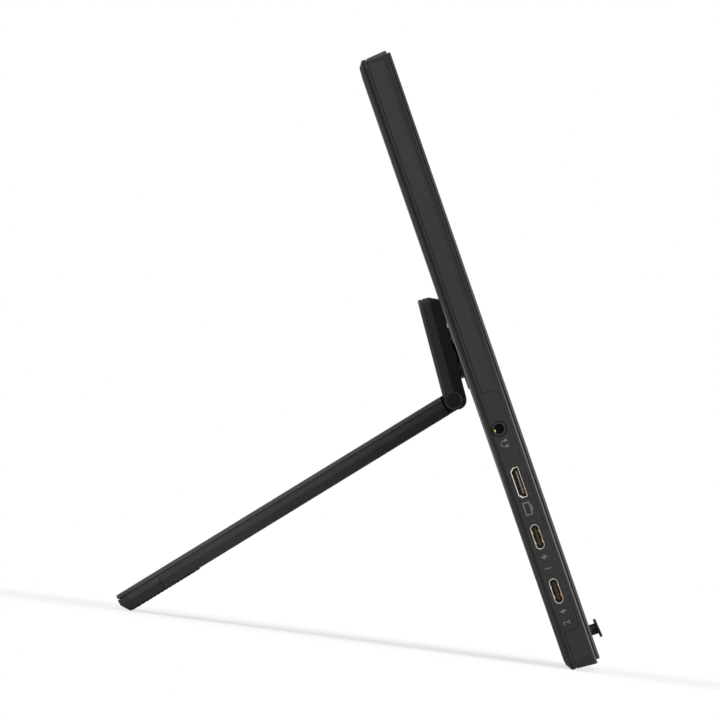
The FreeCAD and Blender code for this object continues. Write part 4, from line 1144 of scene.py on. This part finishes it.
def print_mark(name, mesh, socket, drop):
    """Drops a flat mark onto the casing below a socket and lets it ride on the display."""
    height, depth = height_of(socket) - drop, depth_of(socket)
    for corner in mesh.vertices:
        aim = on_panel(2 * near_side, height + corner.co.x, depth - corner.co.y)
        hit = side_of_casing.ray_cast(aim, across)[0]
        corner.co = hit - across * ink_lift
    mesh.materials.clear()
    mesh.materials.append(ink)
    piece = new_object(name, mesh)
    shape = bmesh.new()
    shape.from_mesh(mesh)
    bmesh.ops.remove_doubles(shape, verts=shape.verts, dist=ink_lift / 10)
    for face in shape.faces:
        if face.normal.x > 0:
            face.normal_flip()
    shape.to_mesh(mesh)
    shape.free()
    thick = piece.modifiers.new("ink", "SOLIDIFY")
    thick.thickness = ink_thickness
    thick.offset = 0
    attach(piece, "display")
    return piece


headphone_drop = 0.0055
screen_drop = 0.0096
spark_drop = 0.0074
number_drop = 0.0116
marks = [print_mark("headphone_print", drawn(headphone_mark), "headphone_jack", headphone_drop),
         print_mark("screen_print", drawn(screen_mark), "video_port_shell", screen_drop)]
for number, socket in ((1, "oval_upper_shell"), (2, "oval_lower_shell")):
    marks.append(print_mark(f"spark_print_{number}", drawn(spark_mark), socket, spark_drop))
    marks.append(print_mark(f"number_print_{number}", number_mesh(number), socket, number_drop))
print("printed marks", len(marks))

# %% [markdown]
# The monitor stands on a plain white floor in a white room. The lamps are large and soft, as in
# a light tent, and together with the room they light a white card about white. The background
# is white because the camera, and what mirrors in metal and glass, sees the room at full
# strength, while the light that the room sheds on the object is weaker. The floor keeps the
# shadow, and from below it is clear, so that the underside can be looked at.

# %% Room, floor and lamps
room_light = 0.42
floor_half = 4.0
floor_patch = 0.4
floor_roughness = 0.9
shadow_reach = 0.25
least_glow = 0.75
lamps = {"side_lamp": dict(place=(-1.8, -0.2, 1.4), size=1.4, power=22.0),
         "front_lamp": dict(place=(-0.5, -1.8, 0.8), size=1.2, power=16.0),
         "back_lamp": dict(place=(0.5, 1.8, 1.3), size=1.2, power=12.0)}


def white_room():
    """World that looks white and sheds a soft light."""
    world = bpy.data.worlds.new("white_room")
    world.use_nodes = True
    tree = world.node_tree
    wire = Wire(tree)
    path = wire.node("ShaderNodeLightPath", {}, {}).socket.node
    seen = Wire(tree, path.outputs["Is Camera Ray"]) + Wire(tree, path.outputs["Is Glossy Ray"])
    seen = wire.maths("ADD", seen, Wire(tree, path.outputs["Is Transmission Ray"]), clamp=True)
    strength = room_light + seen * (1 - room_light)
    background = tree.nodes["Background"]
    background.inputs["Color"].default_value = (1, 1, 1, 1)
    tree.links.new(strength.socket, background.inputs["Strength"])
    bpy.context.scene.world = world


def floor_finish():
    """White floor that shows its shadow from above and nothing from below."""
    material = bpy.data.materials.new("pale_floor")
    material.use_nodes = True
    tree = material.node_tree
    wire = Wire(tree)
    shader = tree.nodes["Principled BSDF"]
    place = wire.node("ShaderNodeTexCoord", {}, {}, "Object")
    tone = mix_colour(wire, speckle(wire, place, floor_patch), grey(0.90), grey(0.94))
    tree.links.new(tone.socket, shader.inputs["Base Color"])
    shader.inputs["Roughness"].default_value = floor_roughness
    shader.inputs["Specular IOR Level"].default_value = 0.0
    glow = wire.node("ShaderNodeEmission", {}, {"Color": (1, 1, 1, 1), "Strength": 1.0})
    reach = vector_maths(wire, "LENGTH", place, output="Value")
    share = spread(wire, reach, shadow_reach, 2 * shadow_reach, least_glow, 1.0)
    seen = wire.node("ShaderNodeLightPath", {}, {}, "Is Camera Ray") * share
    upper = wire.node("ShaderNodeMixShader", {}, {0: seen, 1: Wire(tree, shader.outputs[0]), 2: glow})
    clear = wire.node("ShaderNodeBsdfTransparent", {}, {})
    below = wire.node("ShaderNodeNewGeometry", {}, {}, "Backfacing")
    both = wire.node("ShaderNodeMixShader", {}, {0: below, 1: upper, 2: clear})
    tree.links.new(both.socket, tree.nodes["Material Output"].inputs["Surface"])
    return material


def lay_floor():
    """Flat square under the object."""
    shape = bmesh.new()
    bmesh.ops.create_grid(shape, x_segments=1, y_segments=1, size=floor_half)
    mesh = mesh_of("pale_floor", shape)
    mesh.materials.append(floor_finish())
    floor = new_object("pale_floor", mesh)


def hang_lamp(name, place, size, power):
    """Square soft lamp that faces the object."""
    data = bpy.data.lights.new(name, "AREA")
    data.shape = "SQUARE"
    data.size = size
    data.energy = power
    lamp = new_object(name, data)
    aim = (cad_box[0] + cad_box[1]) / 2
    lamp.location = place
    lamp.rotation_euler = (aim - Vector(place)).to_track_quat("-Z", "Y").to_euler()


white_room()
lay_floor()
for name, hanging in lamps.items():
    hang_lamp(name, **hanging)
bpy.context.scene.view_settings.view_transform = "Standard"
print("lamps", len(lamps))
